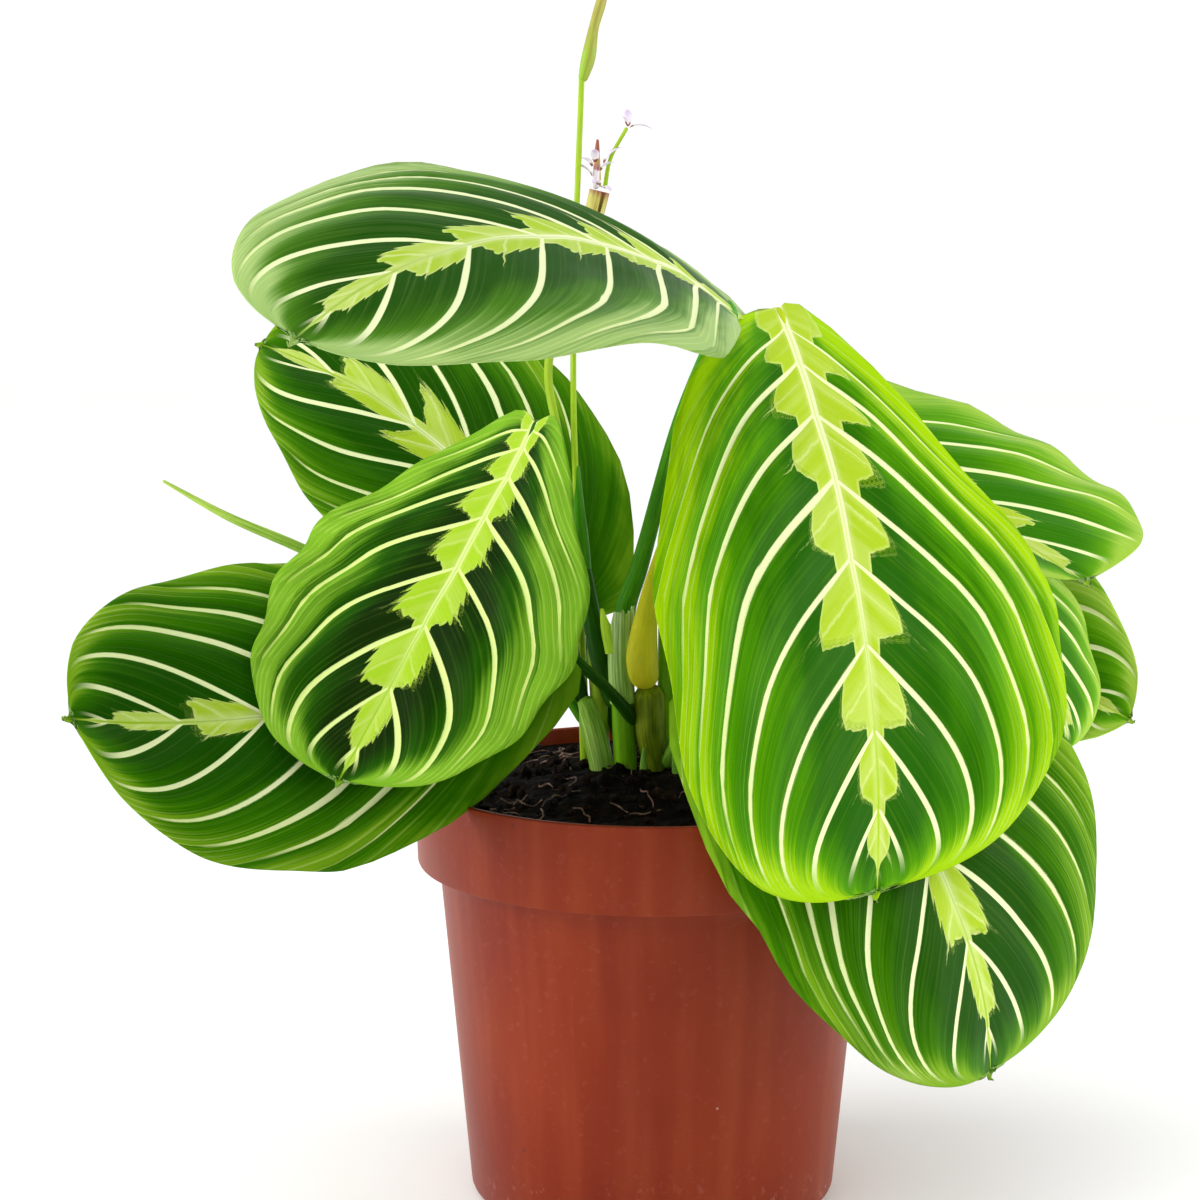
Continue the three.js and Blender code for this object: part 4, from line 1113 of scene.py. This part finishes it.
# Soil: a crumbly heap with loose crumbs and fine rootlets on it
soilForm = {
    "cells": 130, "wall": 104, "heap": 109.5, "radius": 57.8,
    "skirt": [(57.4, 87.9), (52.0, 85), (44.3, 2.4)],
    "seed": 11, "crumbs": 650, "crumbKinds": 5, "crumbEdge": 2.5, "crumbSize": (0.45, 1.5),
    "rootlets": 46, "rootletEdge": 6, "rootletStep": 2.4, "rootletSize": (0.12, 0.3),
}

# dark, brown and pale colours, how strong the pale grains are
soilFinishes = {
    "darkSoil": ("050302", "150D09", "40302A", 0.4),
    "soilCrumb": ("0C0705", "24170F", "6E5548", 0.55),
}
rootletTones = ("4A3028", "8E685A")


def soilHeight(x, y):
    # the heap's own curve, with lumps, grains and pits on it that calm down at the pot's wall
    inward = max(0.0, 1 - math.hypot(x, y) / soilForm["radius"])
    heap = (soilForm["heap"] - soilForm["wall"]) * math.sin(math.pi / 2 * inward) ** 1.5
    lumps = 1.7 * noise.noise(Vector((x * 0.09, y * 0.09, 3)))
    grains = noise.noise(Vector((x * 0.28, y * 0.28, 7)))
    grains += 0.55 * noise.noise(Vector((x * 0.7, y * 0.7, 1)))
    pits = -1.6 * max(0.0, noise.noise(Vector((x * 0.19, y * 0.19, 21))) - 0.2)
    calm = min(1.0, inward * 12)
    return soilForm["wall"] + heap + (lumps + grains + pits) * calm


def buildSoilBed():
    # a square grid drawn out to a disc, with a skirt down the pot's wall to its floor
    form = soilForm
    piece, x, y = newGrid("soil_bed", form["cells"], form["cells"])
    flatX = x * np.sqrt(1 - y ** 2 / 2) * form["radius"]
    flatY = y * np.sqrt(1 - x ** 2 / 2) * form["radius"]
    height = np.array([soilHeight(a, b) for a, b in zip(flatX, flatY)])
    setPoints(piece, np.stack([flatX, flatY, height], -1))
    selectOnly(piece)
    bpy.ops.object.mode_set(mode="EDIT")
    bpy.context.tool_settings.mesh_select_mode = (False, True, False)
    bpy.ops.mesh.select_all(action="DESELECT")
    bpy.ops.mesh.select_non_manifold()
    extrudeRings((form["radius"], form["wall"]), form["skirt"])
    bpy.ops.mesh.edge_face_add()
    bpy.ops.mesh.select_all(action="SELECT")
    bpy.ops.mesh.normals_make_consistent(inside=False)
    bpy.context.tool_settings.mesh_select_mode = (True, False, False)
    bpy.ops.object.mode_set(mode="OBJECT")
    piece.data.materials.append(materials["darkSoil"])
    smooth(piece, 70)
    return piece


def randomPlace(edge):
    # a place on the soil, as far from its rim as edge says
    reach = (soilForm["radius"] - edge) * math.sqrt(random.random())
    turn = random.uniform(0, 2 * math.pi)
    return reach * math.cos(turn), reach * math.sin(turn)


def buildCrumbs():
    form = soilForm
    models = []
    for kind in range(form["crumbKinds"]):
        bpy.ops.mesh.primitive_ico_sphere_add(subdivisions=2, radius=1)
        model = bpy.context.object
        for vertex in model.data.vertices:
            spot = vertex.co * 1.4 + Vector((kind * 5, 0, 0))
            vertex.co = vertex.co * (1 + 0.55 * noise.noise(spot)) + 0.1 * noise.noise_vector(vertex.co * 4)
        models.append(model)
    crumbs = []
    smallest, span = form["crumbSize"]
    for number in range(form["crumbs"]):
        x, y = randomPlace(form["crumbEdge"])
        size = smallest + span * random.random() ** 3
        model = random.choice(models)
        crumb = model.copy()
        crumb.data = model.data.copy()
        crumb.scale = [size * mm * random.uniform(0.6, 1.3) for axis in range(3)]
        crumb.rotation_euler = [random.uniform(0, 6.3) for axis in range(3)]
        crumb.location = Vector((x, y, soilHeight(x, y) + 0.25 * size)) * mm
        bpy.context.collection.objects.link(crumb)
        crumbs.append(crumb)
    for model in models:
        bpy.data.objects.remove(model)
    loose = joinPieces("soil_crumbs", crumbs)
    bpy.ops.object.transform_apply(location=True, rotation=True, scale=True)
    loose.data.materials.clear()
    loose.data.materials.append(materials["soilCrumb"])
    smooth(loose)
    return loose


def buildRootlets():
    # each wanders over the soil; the few that would reach the wall are left out
    form = soilForm
    threads = []
    for number in range(form["rootlets"]):
        x, y = randomPlace(form["rootletEdge"])
        heading = random.uniform(0, 2 * math.pi)
        points = []
        for knot in range(random.randint(4, 7)):
            lift = random.uniform(0.0, 1.1)
            points.append((x, y, soilHeight(x, y) + lift, random.uniform(*form["rootletSize"])))
            heading += random.uniform(-0.9, 0.9)
            x += form["rootletStep"] * math.cos(heading)
            y += form["rootletStep"] * math.sin(heading)
        if max(math.hypot(p[0], p[1]) for p in points) < form["radius"] - 1:
            threads.append(tube("rootlet", points, "rootlet", sides=6, spacing=1.0))
    return joinPieces("soil_rootlets", threads)


def buildSoil():
    bed = buildSoilBed()
    random.seed(soilForm["seed"])
    crumbs = buildCrumbs()
    rootlets = buildRootlets()
    handOver(bed, "soil", "soil")
    handOver(crumbs, "soil")
    handOver(rootlets, "soil")


def soilMaterial(name, dark, brown, pale, paleShare):
    material, g, shader, bump = newMaterial(name, {"Specular IOR Level": 0.06})
    place = g.objectPlace()
    grains = g.noise(place, 520, 5, 0.65)
    lumps = g.noise(place, 130, 3)
    color = g.mix(g.step(lumps, 0.35, 0.7), hexColor(dark), hexColor(brown))
    color = g.mix(g.times(g.step(grains, 0.58, 0.72), paleShare), color, hexColor(pale))
    g.feed(shader.inputs["Base Color"], color)
    g.feed(shader.inputs["Roughness"], g.timesPlus(grains, 0.3, 0.62))
    height = g.plus(g.times(grains, 0.9), g.times(lumps, 0.8))
    g.feed(bump.inputs["Height"], height)
    return material


def rootletMaterial():
    dark, light = (hexColor(code) for code in rootletTones)
    material, g, shader, bump = newMaterial("rootlet", {"Roughness": 0.7})
    grain = g.noise(g.objectPlace(), 600, 3)
    g.feed(shader.inputs["Base Color"], g.mix(g.step(grain, 0.35, 0.65), dark, light))
    g.feed(bump.inputs["Height"], g.times(grain, 0.1))
    return material


# Studio: a pale floor that curves up behind the plant, and soft lights. The floor's size and the steps of
# its curve, back and up, are in metres.
studio = {
    "world": 0.66, "floor": ("FBFBFA", "F8F8F7"), "floorSize": 8, "curve": [(1.0, 0.3), (0.5, 1.0), (0, 3)],
    "sun": {"name": "sun", "place": (-450, -620, 1000), "angle": 70, "power": 1.35},
    "lights": [
        {"name": "left_softbox", "place": (-700, -120, 330), "aim": (0, 0, 120), "size": 420, "power": 3.0},
        {"name": "right_softbox", "place": (700, -80, 300), "aim": (0, 0, 120), "size": 420, "power": 2.6},
    ],
}


def hangLamp(data, place, aim):
    lamp = bpy.data.objects.new(data.name, data)
    lamp.location = Vector(place) * mm
    lamp.rotation_euler = (Vector(aim) - Vector(place)).to_track_quat("-Z", "Y").to_euler()
    bpy.context.collection.objects.link(lamp)


def buildStudio():
    bpy.ops.object.select_all(action="DESELECT")
    bpy.ops.mesh.primitive_plane_add(size=studio["floorSize"], location=(0, 0, 0))
    floor = bpy.context.object
    floor.name = "floor"
    bpy.ops.object.mode_set(mode="EDIT")
    bpy.context.tool_settings.mesh_select_mode = (False, True, False)
    bpy.ops.mesh.select_all(action="DESELECT")
    bpy.ops.object.mode_set(mode="OBJECT")
    for edge in floor.data.edges:
        ends = [floor.data.vertices[v].co for v in edge.vertices]
        edge.select = all(end.y > 0 for end in ends)
    bpy.ops.object.mode_set(mode="EDIT")
    for back, up in studio["curve"]:
        bpy.ops.mesh.extrude_region_move(TRANSFORM_OT_translate={"value": (0, back, up)})
    bpy.context.tool_settings.mesh_select_mode = (True, False, False)
    bpy.ops.object.mode_set(mode="OBJECT")
    material, g, shader = newMaterial("paleFloor", {"Roughness": 0.9})[:3]
    soft = g.noise(g.objectPlace(), 3, 2)
    g.feed(shader.inputs["Base Color"], g.mix(soft, *[hexColor(code) for code in studio["floor"]]))
    floor.data.materials.append(material)
    smooth(floor)
    world = bpy.data.worlds.new("studio")
    world.use_nodes = True
    background = world.node_tree.nodes["Background"]
    background.inputs[0].default_value = (1, 1, 1, 1)
    background.inputs[1].default_value = studio["world"]
    bpy.context.scene.world = world
    sun = bpy.data.lights.new(studio["sun"]["name"], "SUN")
    sun.energy = studio["sun"]["power"]
    sun.angle = math.radians(studio["sun"]["angle"])
    hangLamp(sun, studio["sun"]["place"], (0, 0, 0))
    for light in studio["lights"]:
        data = bpy.data.lights.new(light["name"], "AREA")
        data.shape = "SQUARE"
        data.size = light["size"] * mm
        data.energy = light["power"]
        hangLamp(data, light["place"], light["aim"])
    bpy.context.scene.view_settings.view_transform = "Standard"
    bpy.context.scene.view_settings.look = "None"


materials = {}
materials.update(leafMaterials(leafPattern()))
materials.update(stemMaterials(fibrePattern()))
materials["pot"] = potMaterial()
for finishName, finishValues in soilFinishes.items():
    materials[finishName] = soilMaterial(finishName, *finishValues)
materials["rootlet"] = rootletMaterial()
materials["petal"] = petalMaterial()
for finishName, finishValues in bractFinishes.items():
    materials[finishName] = bractMaterial(finishName, *finishValues)
print("materials made")

for leafNumber, (leafName, leafValues) in enumerate(leaves.items()):
    buildLeaf(leafName, leafValues, leafNumber)
print("leaves built")
buildShoots()
print("stems built")
buildFlowers()
print("flowers built")
buildPot()
buildSoil()
print("pot and soil built")
buildStudio()
print("studio set")
